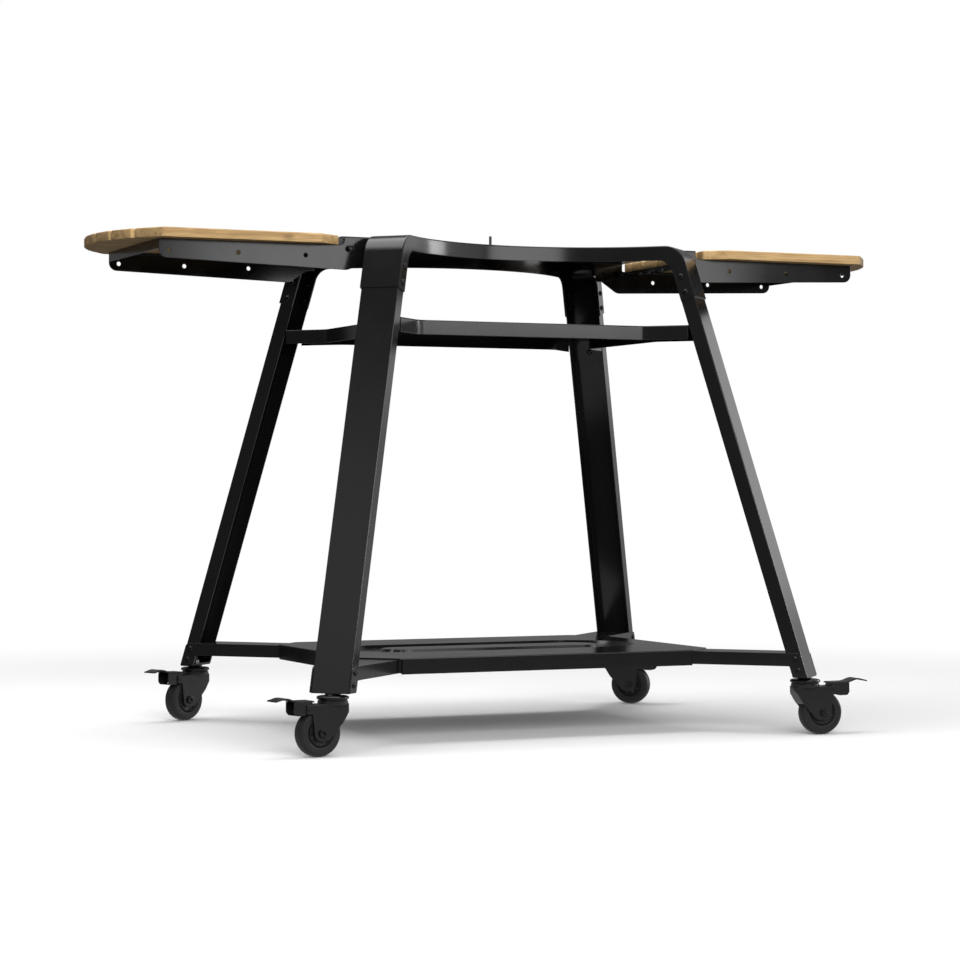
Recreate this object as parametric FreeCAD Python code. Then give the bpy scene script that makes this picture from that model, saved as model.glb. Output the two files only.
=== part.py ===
"""Outdoor pizza oven table: cross-shaped steel top, four splayed legs on braked swivel
casters, a middle and a bottom shelf, and a fold-down wooden side shelf at each end.

Frame: origin on the floor under the table's centre, X to the right, Y to the back, Z up.
Every size is in millimetres.
"""
import FreeCAD
import Part
import math
import os

# Legs: one corner of the table; the other three are its mirror images.
LEG_LEAN = 17.0
LEG_FOOT_X = 435.3
LEG_FOOT_Y = 357.5
LEG_FOOT_Z = 97.8
LEG_LENGTH = 735.0
LEG_HALF_WIDTH = 32.5
LEG_DEPTH = 24.0
LEG_SHEET = 2.0
FOOT_PLATE = 4.0

# Top frame: a cross of four arms that bend down over the legs.
TOP_Z = 831.5
TOP_SHEET = 2.2
TOP_FLANGE = 25.0
ARM_HALF_WIDTH = LEG_HALF_WIDTH + TOP_SHEET
BEND_RADIUS = 38.0
BEND_INNER_RADIUS = 27.0
STRAP_LEAD = 13.0
STRAP_END = 674.5
FRONT_ARC_RADIUS = 313.0
TONGUE_HALF_WIDTH = 141.5
TONGUE_END_X = 330.0
TONGUE_ROOT_RADIUS = 2.5
EAR_START_X = 276.0
EAR_TAPER_X = 295.0
EAR_BOTTOM_Z = 796.0
EAR_TIP_Z = 809.5
EAR_TIP_RADIUS = 2.0
EAR_TAPER_RADIUS = 6.0
EAR_ROOT_RADIUS = 4.0

# Middle shelf, held by tabs inside the legs.
MID_Z = 695.0
MID_SHEET = 2.0
MID_FLANGE = 24.0
MID_HALF_X = 258.0
MID_HALF_Y = 177.0
MID_ARM_HALF_WIDTH = 33.0
MID_CORNER_RADIUS = 30.0
MID_TAB_Z = 655.0
MID_TAB_BEND = 3.0
MID_SCREW_Z = 672.0

# Bottom shelf: a panel over a left and a right side piece.
PANEL_Z = 141.0
PANEL_SHEET = 2.0
PANEL_FLANGE = 26.0
PANEL_HALF_X = 323.0
PANEL_HALF_Y = 245.0
PANEL_CHAMFER = 53.0
PANEL_SCREW_Y = 132.0
GROOVE_HALF_X = 268.0
GROOVE_HALF_Y = 105.0
GROOVE_BAND = 68.0
GROOVE_DEPTH = 6.0
GROOVE_SLOPE = 5.0
SIDE_SHEET = 2.0
SIDE_FLANGE = 22.0
SIDE_INNER_X = 278.0
SIDE_INNER_SUM = 450.0
SIDE_INNER_RADIUS = 10.0
SIDE_REAR_RADIUS = 4.0
SIDE_CORNER_RADIUS = 18.0
SIDE_GAP = 0.5
ARM_GAP = 2.0
TAB_LENGTH = 42.0
TAB_TOP_DEPTH = 6.0
TAB_TOP_RADIUS = 8.0
TAB_FOOT_RADIUS = 2.0

# Fasteners.
BOLT_RADIUS = 3.0
BOLT_HEAD_RADIUS = 5.0
BOLT_HEAD_HEIGHT = 3.0
BOLT_RIM_HEIGHT = 1.35
BOLT_CROWN_RADIUS = 3.0
BOLT_POINT = 1.0
NUT_FLATS = 10.0
NUT_HEIGHT = 5.0
FIT = 0.05
TOP_BOLTS = (715.0, 687.0)
TOP_BOLT_DEPTH = 12.0
BOTTOM_BOLTS = (36.0, 16.0)
BOTTOM_BOLT_DEPTH = 11.0
STUD_TOP_Z = 856.5
STUD_RADIUS = 2.5
STUD_NECK_RADIUS = 2.3

# Side shelves: the outline of an arm is given by its corners and their radii.
PIVOT_X = 319.6
PIVOT_Z = 811.0
LOCK_X = 292.5
SHELF_SHEET = 2.5
SHELF_WEB_Y = 142.0
SHELF_TOP_Z = 816.0
SHELF_END_X = 645.0
SHELF_END_Z = 786.0
SHELF_END_RADIUS = 14.0
SHELF_BELLY_X = 321.0
SHELF_BELLY_Z = 775.5
SHELF_BELLY_RADIUS = 20.0
SHELF_TAIL_X = 284.0
SHELF_TAIL_Z = 829.0
SHELF_TAIL_LOW_Z = 800.0
SHELF_TAIL_RADIUS = 5.0
SHELF_NECK_X = 328.0
SHELF_NECK_RADIUS = 8.0
SHELF_NECK_TIP = 1.5
SHELF_FLANGE = 20.0
SHELF_STRIP_X = 385.0
SHELF_WINDOW_RADIUS = 6.0
SHELF_CROSS_Z = 800.0
ACCESSORY_HOLES_X = (396.0, 512.0, 628.0)
ACCESSORY_HOLE_Z = 797.6
ACCESSORY_HOLE_RADIUS = 3.75

# Pivot bolts of the side shelves: collar, head and socket; washer nut; lock button.
COLLAR_RADIUS = 6.5
COLLAR = 1.5
PIVOT_HEAD_RADIUS = 4.8
PIVOT_HEAD = 7.0
SOCKET_RADIUS = 2.5
SOCKET_DEPTH = 3.0
WASHER_RADIUS = 7.0
WASHER = 1.2
BUTTON_RADIUS = 4.0
BUTTON_HEAD = 2.0
BUTTON_PROUD = 0.2

# Wooden boards of a side shelf: their outer ends follow an arc, board by board.
BOARD_COUNT = 7
BOARD_PITCH = 50.0
BOARD_GAP = 1.6
BOARDS_INNER_X = 340.0
BOARDS_ARC_X = 471.0
BOARDS_ARC_RADIUS = 248.0
BOARDS_CHAMFER_X = 379.0
BOARDS_CHAMFER_Y = 150.0
BOARD_CORNER_RADIUS = 5.0
BOARDS_OUTER_RADIUS = 12.0
BOARD_EDGE_RADIUS = 2.5
BOARD_UNDER_RADIUS = 1.0
BOARD_SCREW_MARGIN = 10.0

# Casters: local X points from the swivel axis towards the wheel axle.
WHEEL_RADIUS = 37.5
WHEEL_CLEARANCE = 1.6
TYRE_HALF_WIDTH = 12.0
TYRE_TREAD_HALF_WIDTH = 5.0
TYRE_SHOULDER = 2.2
TYRE_SIDE_RADIUS = 31.5
HUB_RADIUS = 23.0
HUB_HALF_WIDTH = 13.7
HUB_BOSS_RADIUS = 8.0
HUB_DISH_RADIUS = 19.0
HUB_RIM_RADIUS = 20.5
HUB_DISH = 2.0
HUB_DISH_DEEP = 3.0
TRAIL = 27.4
AXLE_RADIUS = 4.0
AXLE_HEAD_RADIUS = 7.0
AXLE_HEAD = 4.0
AXLE_CHAMFER = 0.5
AXLE_SOCKET_RADIUS = 3.0
AXLE_SOCKET_DEPTH = 2.5
FORK_HALF_WIDTH = 16.0
FORK_SHEET = 2.0
HORN_X = -25.0
HORN_Z = 76.5
HORN_RADIUS = 8.0
HORN_WAIST_X = -11.0
HORN_WAIST_Z = 54.0
HORN_WAIST_RADIUS = 20.0
CHEEK_RADIUS = 12.0
CHEEK_REAR_X = 43.5
CHEEK_REAR_Z = 60.0
CHEEK_REAR_RADIUS = 6.0
BRAKE_EAR_X = 55.0
BRAKE_EAR_Z = 68.0
BRAKE_EAR_RADIUS = 3.0
PEDAL_ROOM = 30.0
CROWN_Z = 82.0
RACE_Z = 87.0
RACE_RADIUS = 25.5
RACE_LOW_RADIUS = 24.0
RACE_TOP_RADIUS = 22.5
RACE_BEVEL = 1.0
STEM_COLLAR_RADIUS = 12.0
STEM_COLLAR = 2.5
STEM_DISH_RADIUS = 24.0
STEM_DISH = 4.2
STEM_RIM = 2.0
KINGPIN_RADIUS = 6.0
KINGPIN_HEAD_RADIUS = 9.0
KINGPIN_HEAD = 2.2
STEM_RADIUS = 4.8
STEM_LENGTH = 12.0
STEM_POINT = 1.0
STEM_NUT_FLATS = 13.0
STEM_NUT_HEIGHT = 5.0
PEDAL_PIN_X = 50.0
PEDAL_PIN_Z = 75.0
PEDAL_PIN_RADIUS = 2.0
PEDAL_PIN_PROUD = 1.0
PEDAL_START_X = 41.0
PEDAL_START_Z = 86.2
PEDAL_SHEET = 2.5
PEDAL_DIP_X = 72.0
PEDAL_DIP_RADIUS = 30.0
PEDAL_HUMP_X = 90.0
PEDAL_HUMP_Z = 95.2
PEDAL_HUMP_RADIUS = 22.0
PEDAL_TIP_X = 109.0
PEDAL_TIP_Z = 90.6
PEDAL_TIP_SHEET = 2.0
BLOCK_LEFT_X = 44.0
BLOCK_TOE_X = 58.0
BLOCK_RIGHT_X = 76.0
BLOCK_PAD_Z = 77.0
BLOCK_LOW_Z = 66.0
BLOCK_CORNER = 4.0
RUNNING = 0.06
FACE_GAP = 0.3

CORNERS = {"fl": (-1, -1), "fr": (1, -1), "rl": (-1, 1), "rr": (1, 1)}
CASTER_TURN = {"fl": 189.7, "fr": -6.0, "rl": 204.5, "rr": -41.3}

ORIGIN = FreeCAD.Vector(0, 0, 0)
X_AXIS = FreeCAD.Vector(1, 0, 0)
Y_AXIS = FreeCAD.Vector(0, 1, 0)
Z_AXIS = FreeCAD.Vector(0, 0, 1)
ROOT2 = math.sqrt(2)
LEAN_SIN = math.sin(math.radians(LEG_LEAN))
LEAN_COS = math.cos(math.radians(LEG_LEAN))
LEAN_TAN = math.tan(math.radians(LEG_LEAN))
ARM_LINE = LEG_FOOT_X - LEG_FOOT_Y
LAP = 1.0
PAST = 10.0
TINY = 0.01


def rounded_wire(corners, place):
    """Closed wire through corners (a, b, radius), each rounded by a tangent arc."""
    count = len(corners)
    starts = []
    arcs = []
    for i in range(count):
        a, b, radius = corners[i]
        here = FreeCAD.Vector(a, b, 0)
        before = FreeCAD.Vector(corners[i - 1][0], corners[i - 1][1], 0) - here
        after = FreeCAD.Vector(corners[(i + 1) % count][0], corners[(i + 1) % count][1], 0) - here
        before.normalize()
        after.normalize()
        if radius == 0:
            starts.append((here, here))
            arcs.append(None)
            continue
        half = before.getAngle(after) / 2
        reach = radius / math.tan(half)
        middle = before + after
        middle.normalize()
        middle = here + middle * (radius / math.sin(half) - radius)
        starts.append((here + before * reach, here + after * reach))
        arcs.append(middle)
    edges = []
    for i in range(count):
        first, last = starts[i]
        if arcs[i] is not None:
            points = [place(p.x, p.y) for p in (first, arcs[i], last)]
            edges.append(Part.Arc(*points).toShape())
        following = starts[(i + 1) % count][0]
        if (following - last).Length > TINY:
            edges.append(Part.makeLine(place(last.x, last.y), place(following.x, following.y)))
    return Part.Wire(edges)


def plate(corners, low, high):
    """Prism of an outline in plan, between two heights."""
    wire = rounded_wire(corners, lambda a, b: FreeCAD.Vector(a, b, low))
    return Part.Face(wire).extrude(Z_AXIS * (high - low))


def profile(corners, left, right):
    """Prism of an outline seen from the side (distance, height), across the local Y axis."""
    wire = rounded_wire(corners, lambda a, b: FreeCAD.Vector(a, left, b))
    return Part.Face(wire).extrude(Y_AXIS * (right - left))


def cylinder(radius, start, end):
    """Cylinder between two points."""
    axis = end - start
    return Part.makeCylinder(radius, axis.Length, start, axis)


def turned(points, centre=ORIGIN, axis=Z_AXIS):
    """Solid of revolution from (radius, height) points about a line."""
    line = [FreeCAD.Vector(r, 0, h) for r, h in points]
    face = Part.Face(Part.makePolygon(line + line[:1]))
    solid = face.revolve(ORIGIN, Z_AXIS, 360)
    solid.Placement = FreeCAD.Placement(centre, FreeCAD.Rotation(Z_AXIS, axis))
    return solid


def hexagon(flats, height, hole, centre, axis):
    """Hexagonal nut with a plain bore."""
    reach = flats / math.sqrt(3)
    corners = [(reach * math.cos(math.radians(60 * k)), reach * math.sin(math.radians(60 * k)), 0)
               for k in range(6)]
    nut = plate(corners, 0, height).cut(Part.makeCylinder(hole, height))
    nut.Placement = FreeCAD.Placement(centre, FreeCAD.Rotation(Z_AXIS, axis))
    return nut


def mirrored(shape, sign_x, sign_y):
    """Copy of a shape of the right rear quarter in the quarter of the given signs."""
    if sign_x < 0:
        shape = shape.mirror(ORIGIN, X_AXIS)
    if sign_y < 0:
        shape = shape.mirror(ORIGIN, Y_AXIS)
    return shape


def to_corner(shape, sign_x, sign_y):
    """Move a shape from the leg's own frame (outward, across, up) to its corner."""
    shape = shape.copy()
    shape.rotate(ORIGIN, Z_AXIS, 45)
    shape.translate(FreeCAD.Vector(LEG_FOOT_X, LEG_FOOT_Y, 0))
    return mirrored(shape, sign_x, sign_y)


def on_leg(along, depth):
    """(outward, height) of a point at a length along the leg and a depth behind its face."""
    return (-along * LEAN_SIN - depth * LEAN_COS,
            LEG_FOOT_Z + along * LEAN_COS - depth * LEAN_SIN)


def leg_face(height, depth=0.0):
    """Outward place of the leg's face, or of a plane behind it, at a height."""
    return -(height - LEG_FOOT_Z) * LEAN_TAN - depth / LEAN_COS


def cross_outline(quarter, apex):
    """Outline with two mirror planes, from one quarter's corners and its rear apex."""
    rear = quarter + apex + [(-x, y, r) for x, y, r in reversed(quarter)]
    return rear + [(-x, -y, r) for x, y, r in rear]


def arm_corners(half_width, outward, radius=0.0):
    """The two corners that end a diagonal arm, the one nearer the side first."""
    x = LEG_FOOT_X + outward / ROOT2
    y = LEG_FOOT_Y + outward / ROOT2
    step = half_width / ROOT2
    return [(x + step, y - step, radius), (x - step, y + step, radius)]


def bent_edges(solid, height, radius, is_cut):
    """Round a folded sheet's top edges, apart from those where the sheet is only cut."""
    edges = [edge for edge in solid.Edges
             if edge.BoundBox.ZMin > height - TINY and not is_cut(edge.CenterOfMass)]
    return solid.makeFillet(radius, edges)


def at_arm_end(point, outward):
    """Whether a point lies at the end of a diagonal arm."""
    return abs(point.x) + abs(point.y) > LEG_FOOT_X + LEG_FOOT_Y + outward * ROOT2 - TINY


def leg():
    """U channel, open towards the table's centre, cut level at its foot."""
    def side(face_depth, back_depth, top, foot_z):
        return [(leg_face(foot_z, face_depth), foot_z, 0), on_leg(top, face_depth) + (0,),
                on_leg(top, back_depth) + (0,), (leg_face(foot_z, back_depth), foot_z, 0)]
    outer = profile(side(0, LEG_DEPTH, LEG_LENGTH, LEG_FOOT_Z), -LEG_HALF_WIDTH, LEG_HALF_WIDTH)
    middle = on_leg(LEG_LENGTH / 2, 0)[0]
    bends = [edge for edge in outer.Edges
             if edge.Length > LEG_LENGTH / 2 and edge.CenterOfMass.x > middle - PAST]
    outer = outer.makeFillet(LEG_SHEET, bends)
    inside = LEG_HALF_WIDTH - LEG_SHEET
    hollow = profile(side(LEG_SHEET, LEG_DEPTH + PAST, LEG_LENGTH + PAST, LEG_FOOT_Z - PAST),
                     -inside, inside)
    channel = outer.cut(hollow)
    holes = [leg_bolt_line(along, TOP_BOLT_DEPTH) for along in TOP_BOLTS]
    holes += [leg_bolt_line(along, BOTTOM_BOLT_DEPTH) for along in BOTTOM_BOLTS]
    return channel.cut(holes)


def leg_bolt_line(along, depth):
    """Drilling for the bolts on both flanges of a leg."""
    s, z = on_leg(along, depth)
    reach = LEG_HALF_WIDTH + PAST
    return cylinder(BOLT_RADIUS + FIT, FreeCAD.Vector(s, -reach, z), FreeCAD.Vector(s, reach, z))


def foot_plate():
    """Plate welded across the foot of a leg, with the hole for the caster's stem."""
    top = LEG_FOOT_Z + FOOT_PLATE
    corners = [(leg_face(LEG_FOOT_Z, LEG_SHEET), LEG_FOOT_Z, 0), (leg_face(top, LEG_SHEET), top, 0),
               (leg_face(top, LEG_DEPTH), top, 0), (leg_face(LEG_FOOT_Z, LEG_DEPTH), LEG_FOOT_Z, 0)]
    inside = LEG_HALF_WIDTH - LEG_SHEET
    stem = stem_place()
    hole = cylinder(STEM_RADIUS + FIT, FreeCAD.Vector(stem, 0, 0), FreeCAD.Vector(stem, 0, top + PAST))
    return profile(corners, -inside, inside).cut(hole)


def stem_place():
    """Outward place of the caster's swivel axis, at the middle of the channel's depth."""
    return leg_face(LEG_FOOT_Z, LEG_DEPTH / 2)


def top_outline(inset, arm_end, tongue_end):
    """Plan of the cross-shaped top, or of the room inside its flanges."""
    half = ARM_HALF_WIDTH - inset
    tongue = TONGUE_HALF_WIDTH - inset
    root_x = tongue + ARM_LINE + half * ROOT2
    quarter = [(tongue_end, tongue, 0), (root_x, tongue, TONGUE_ROOT_RADIUS + inset)]
    quarter += arm_corners(half, arm_end)
    apex = [(0, half * ROOT2 - ARM_LINE, FRONT_ARC_RADIUS + inset)]
    return cross_outline(quarter, apex)


def bend_centre():
    """(outward, height) of the centre of an arm's bend over its leg."""
    height = TOP_Z - BEND_RADIUS
    return leg_face(height, -(TOP_SHEET - BEND_RADIUS)), height


def strap_start():
    """Outward place where an arm's flat part gives way to its strap."""
    return bend_centre()[0] - STRAP_LEAD


def strap():
    """Bent end of an arm: over the top of the leg and down outside it."""
    start = strap_start()
    knee = leg_face(TOP_Z, -TOP_SHEET)
    low = TOP_Z - TOP_FLANGE
    outer_end = on_leg(STRAP_END, -TOP_SHEET)
    inner_end = on_leg(STRAP_END, LEG_DEPTH)
    inner_knee = leg_face(low, LEG_DEPTH)
    side = [(start, TOP_Z, 0), (knee, TOP_Z, BEND_RADIUS), outer_end + (0,), inner_end + (0,),
            (inner_knee, low, BEND_INNER_RADIUS), (start, low, 0)]
    solid = profile(side, -ARM_HALF_WIDTH, ARM_HALF_WIDTH)
    bends = [edge for edge in solid.Edges if on_strap_face(edge)]
    solid = solid.makeFillet(TOP_SHEET, bends)
    under = TOP_Z - TOP_SHEET
    past_end = on_leg(STRAP_END - PAST, 0)
    past_back = on_leg(STRAP_END - PAST, LEG_DEPTH + PAST)
    room = [(start - PAST, under, 0), (leg_face(under), under, BEND_RADIUS - TOP_SHEET),
            past_end + (0,), past_back + (0,), (start - PAST, low - PAST, 0)]
    inside = ARM_HALF_WIDTH - TOP_SHEET
    solid = solid.cut(profile(room, -inside, inside))
    return solid.cut([leg_bolt_line(along, TOP_BOLT_DEPTH) for along in TOP_BOLTS])


def on_strap_face(edge):
    """Whether an edge of the strap's block is one of the long ones of its outer face."""
    if edge.BoundBox.YLength > TINY:
        return False
    ends = [edge.Vertexes[0].Point, edge.Vertexes[-1].Point]
    return all(p.z > TOP_Z - TINY or abs(p.x - leg_face(p.z, -TOP_SHEET)) < TINY for p in ends)


def ear():
    """Flange under the tongue's edge that carries a side shelf's pivot."""
    top = TOP_Z - TOP_SHEET
    side = [(EAR_START_X, top, 0), (TONGUE_END_X, top, 0), (TONGUE_END_X, EAR_TIP_Z, EAR_TIP_RADIUS),
            (EAR_TAPER_X, EAR_BOTTOM_Z, EAR_TAPER_RADIUS), (EAR_START_X, EAR_BOTTOM_Z, EAR_ROOT_RADIUS)]
    solid = profile(side, TONGUE_HALF_WIDTH - TOP_SHEET, TONGUE_HALF_WIDTH)
    holes = [cylinder(BOLT_RADIUS + FIT, FreeCAD.Vector(x, TONGUE_HALF_WIDTH - PAST, PIVOT_Z),
                      FreeCAD.Vector(x, TONGUE_HALF_WIDTH + PAST, PIVOT_Z))
             for x in (PIVOT_X, LOCK_X)]
    return solid.cut(holes)


def top_frame():
    """Cross-shaped sheet top with turned-down flanges, four straps and four ears."""
    arm_end = strap_start()
    low = TOP_Z - TOP_FLANGE
    sheet = plate(top_outline(0, arm_end, TONGUE_END_X), low, TOP_Z)
    sheet = bent_edges(sheet, TOP_Z, TOP_SHEET,
                       lambda p: abs(p.x) > TONGUE_END_X - TINY or at_arm_end(p, arm_end))
    room = plate(top_outline(TOP_SHEET, arm_end + PAST, TONGUE_END_X + PAST), low, TOP_Z - TOP_SHEET)
    solid = sheet.cut(room)
    for start in (EAR_START_X, -TONGUE_END_X):
        length = TONGUE_END_X - EAR_START_X
        width = 2 * (TONGUE_HALF_WIDTH + FACE_GAP)
        clear = Part.makeBox(length, width, TOP_FLANGE - TOP_SHEET,
                             FreeCAD.Vector(start, -width / 2, low))
        solid = solid.cut(clear)
    pieces = [to_corner(strap(), *signs) for signs in CORNERS.values()]
    pieces += [mirrored(ear(), *signs) for signs in CORNERS.values()]
    solid = solid.fuse(pieces).removeSplitter()
    return solid.cut(cylinder(STUD_RADIUS + FIT, FreeCAD.Vector(0, 0, low), FreeCAD.Vector(0, 0, TOP_Z)))


def centre_stud():
    """Locating stud that stands on the top, with a neck through the sheet and a head under it."""
    under = TOP_Z - TOP_SHEET
    return turned([(0, under - BOLT_HEAD_HEIGHT), (BOLT_HEAD_RADIUS, under - BOLT_HEAD_HEIGHT),
                   (BOLT_HEAD_RADIUS, under), (STUD_NECK_RADIUS, under), (STUD_NECK_RADIUS, TOP_Z),
                   (STUD_RADIUS, TOP_Z), (STUD_RADIUS, STUD_TOP_Z), (0, STUD_TOP_Z)])


def button_bolt(head, direction, length):
    """Round-headed bolt: head's seat at a point, shank along a direction."""
    outline = [(0, -BOLT_HEAD_HEIGHT), (BOLT_CROWN_RADIUS, -BOLT_HEAD_HEIGHT),
               (BOLT_HEAD_RADIUS, -BOLT_RIM_HEIGHT), (BOLT_HEAD_RADIUS, 0), (BOLT_RADIUS, 0),
               (BOLT_RADIUS, length), (0, length)]
    return turned(outline, head, direction)


def leg_bolts(lengths_along, depth):
    """Bolts through both flanges of all four legs."""
    bolts = []
    length = TOP_SHEET + LEG_SHEET + NUT_HEIGHT + BOLT_POINT
    for signs in CORNERS.values():
        for along in lengths_along:
            s, z = on_leg(along, depth)
            for side in (-1, 1):
                seat = FreeCAD.Vector(s, side * ARM_HALF_WIDTH, z)
                bolts.append(to_corner(button_bolt(seat, Y_AXIS * -side, length), *signs))
    return bolts


def leg_nuts(lengths_along, depth):
    """Nuts of the leg bolts, inside the channels."""
    nuts = []
    for signs in CORNERS.values():
        for along in lengths_along:
            s, z = on_leg(along, depth)
            for side in (-1, 1):
                seat = FreeCAD.Vector(s, side * (LEG_HALF_WIDTH - LEG_SHEET), z)
                nut = hexagon(NUT_FLATS, NUT_HEIGHT, BOLT_RADIUS + FIT, seat, Y_AXIS * -side)
                nuts.append(to_corner(nut, *signs))
    return nuts


def middle_outline(inset, arm_end):
    """Plan of the middle shelf, or of the room inside its flanges."""
    half = MID_ARM_HALF_WIDTH - inset
    side = MID_HALF_X - inset
    rear = MID_HALF_Y - inset
    radius = MID_CORNER_RADIUS + inset
    quarter = [(side, side - ARM_LINE - half * ROOT2, radius)]
    quarter += arm_corners(half, arm_end)
    quarter += [(rear + ARM_LINE - half * ROOT2, rear, radius)]
    return cross_outline(quarter, [])


def middle_tab():
    """Narrow end of a middle shelf arm, turned down against the inside of the leg."""
    under = MID_Z - MID_SHEET
    back = leg_face(MID_Z, LEG_DEPTH) - LAP
    outer_low = leg_face(MID_TAB_Z, LEG_SHEET)
    inner_low = leg_face(MID_TAB_Z, LEG_SHEET + MID_SHEET)
    side = [(back, MID_Z, 0), (leg_face(MID_Z, LEG_SHEET), MID_Z, MID_TAB_BEND), (outer_low, MID_TAB_Z, 0),
            (inner_low, MID_TAB_Z, 0),
            (leg_face(under, LEG_SHEET + MID_SHEET), under, MID_TAB_BEND - MID_SHEET), (back, under, 0)]
    half = LEG_HALF_WIDTH - LEG_SHEET - FACE_GAP
    tab = profile(side, -half, half)
    s = leg_face(MID_SCREW_Z, LEG_SHEET)
    normal = FreeCAD.Vector(LEAN_COS, 0, LEAN_SIN)
    centre = FreeCAD.Vector(s, 0, MID_SCREW_Z)
    return tab.cut(cylinder(BOLT_RADIUS + FIT, centre - normal * PAST, centre + normal * PAST))


def middle_shelf():
    """Sheet shelf with turned-down flanges and four arms that end in tabs."""
    arm_end = leg_face(MID_Z, LEG_DEPTH) - LAP
    low = MID_Z - MID_FLANGE
    solid = plate(middle_outline(0, arm_end), low, MID_Z)
    solid = bent_edges(solid, MID_Z, MID_SHEET, lambda p: at_arm_end(p, arm_end))
    room = plate(middle_outline(MID_SHEET, arm_end + PAST), low, MID_Z - MID_SHEET)
    tabs = [to_corner(middle_tab(), *signs) for signs in CORNERS.values()]
    return solid.cut(room).fuse(tabs).removeSplitter()


def middle_screws():
    """Weld studs on the legs' webs with round nuts, one through each tab."""
    screws = []
    normal = FreeCAD.Vector(LEAN_COS, 0, LEAN_SIN)
    for signs in CORNERS.values():
        centre = FreeCAD.Vector(leg_face(MID_SCREW_Z, LEG_SHEET), 0, MID_SCREW_Z)
        screw = button_bolt(centre - normal * MID_SHEET, normal, MID_SHEET)
        screws.append(to_corner(screw, *signs))
    return screws


def panel_outline(inset):
    """Plan of the bottom panel, corners cut square to the arms."""
    x = PANEL_HALF_X - inset
    y = PANEL_HALF_Y - inset
    return cross_outline([(x, PANEL_HALF_Y - PANEL_CHAMFER, 0), (PANEL_HALF_X - PANEL_CHAMFER, y, 0)], [])


def groove(inset, depth_from, depth_to):
    """Ring-shaped trough with sloping walls, between two depths below the panel's top."""
    def wall(edge, slope, z):
        reach_x = GROOVE_HALF_X - edge - slope
        reach_y = GROOVE_HALF_Y - edge - slope
        corners = [(sx * reach_x, sy * reach_y, reach_y - LAP)
                   for sx, sy in ((1, 1), (-1, 1), (-1, -1), (1, -1))]
        return rounded_wire(corners, lambda a, b: FreeCAD.Vector(a, b, z))
    top = PANEL_Z - depth_from
    floor = PANEL_Z - depth_to
    outer = Part.makeLoft([wall(inset, 0, top), wall(inset, GROOVE_SLOPE, floor)], True, True)
    island = GROOVE_BAND - inset
    core = Part.makeLoft([wall(island, 0, top), wall(island, -GROOVE_SLOPE, floor)], True, True)
    return outer.cut(core)


def bottom_panel():
    """Pan with side flanges, plain cut corners and a pressed ring groove."""
    low = PANEL_Z - PANEL_FLANGE
    solid = plate(panel_outline(0), low, PANEL_Z)
    diagonal = PANEL_HALF_X + PANEL_HALF_Y - PANEL_CHAMFER
    solid = bent_edges(solid, PANEL_Z, PANEL_SHEET, lambda p: abs(p.x) + abs(p.y) > diagonal - TINY)
    room = plate(panel_outline(PANEL_SHEET), low, PANEL_Z - PANEL_SHEET)
    solid = solid.cut(room)
    cut = PANEL_CHAMFER + PANEL_SHEET * 2 + PAST
    chamfer = [(PANEL_HALF_X + PAST, PANEL_HALF_Y - cut, 0),
               (PANEL_HALF_X + PAST, PANEL_HALF_Y + PAST, 0),
               (PANEL_HALF_X - cut, PANEL_HALF_Y + PAST, 0)]
    corner = plate(chamfer, low, PANEL_Z - PANEL_SHEET)
    solid = solid.cut([mirrored(corner, *signs) for signs in CORNERS.values()])
    press = groove(-PANEL_SHEET / 2, PANEL_SHEET, GROOVE_DEPTH + PANEL_SHEET)
    solid = solid.fuse(press).cut(groove(0, 0, GROOVE_DEPTH))
    holes = [cylinder(BOLT_RADIUS + FIT, place, place + Z_AXIS * PANEL_FLANGE)
             for place in panel_screw_places()]
    return solid.cut(holes).removeSplitter()


def panel_screw_places():
    """Four places where the panel is held to its side pieces."""
    x = (SIDE_INNER_X + PANEL_HALF_X) / 2
    z = PANEL_Z - PANEL_SHEET - SIDE_SHEET
    return [FreeCAD.Vector(sx * x, sy * PANEL_SCREW_Y, z) for sx, sy in CORNERS.values()]


def panel_screws():
    """Round-headed screws from below, ending flush with the panel's top."""
    return [button_bolt(place, Z_AXIS, PANEL_SHEET + SIDE_SHEET) for place in panel_screw_places()]


def side_outline(inset, arm_end):
    """Plan of the right side piece under the panel."""
    half = ARM_HALF_WIDTH - inset
    outer_x = PANEL_HALF_X - PANEL_SHEET - SIDE_GAP - inset
    rear_y = PANEL_HALF_Y - PANEL_SHEET - SIDE_GAP - inset
    inner_x = SIDE_INNER_X + inset
    inner_sum = SIDE_INNER_SUM + inset * ROOT2
    quarter = [(inner_x, inner_sum - inner_x, SIDE_INNER_RADIUS),
               (inner_sum - rear_y, rear_y, SIDE_REAR_RADIUS + inset),
               (rear_y + ARM_LINE - half * ROOT2, rear_y, 0)]
    quarter += reversed(arm_corners(half, arm_end))
    quarter += [(outer_x, outer_x - ARM_LINE - half * ROOT2, SIDE_CORNER_RADIUS)]
    return quarter + [(x, -y, r) for x, y, r in reversed(quarter)]


def leg_tab():
    """End of a side piece's flange, shaped to the leg and bolted outside it."""
    top = PANEL_Z - PANEL_SHEET
    low = top - SIDE_FLANGE
    foot = LEG_FOOT_Z + SIDE_GAP
    back = leg_face(top, LEG_DEPTH) - ARM_GAP
    side = [(leg_face(foot), foot, TAB_FOOT_RADIUS), on_leg(TAB_LENGTH, 0) + (TAB_TOP_RADIUS,),
            (on_leg(TAB_LENGTH, TAB_TOP_DEPTH)[0], top, 0), (back, top, 0), (back, low, 0),
            (leg_face(low, LEG_DEPTH), low, TAB_FOOT_RADIUS),
            (leg_face(foot, LEG_DEPTH), foot, TAB_FOOT_RADIUS)]
    tab = profile(side, LEG_HALF_WIDTH, ARM_HALF_WIDTH)
    return tab.cut([leg_bolt_line(along, BOTTOM_BOLT_DEPTH) for along in BOTTOM_BOLTS])


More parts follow.
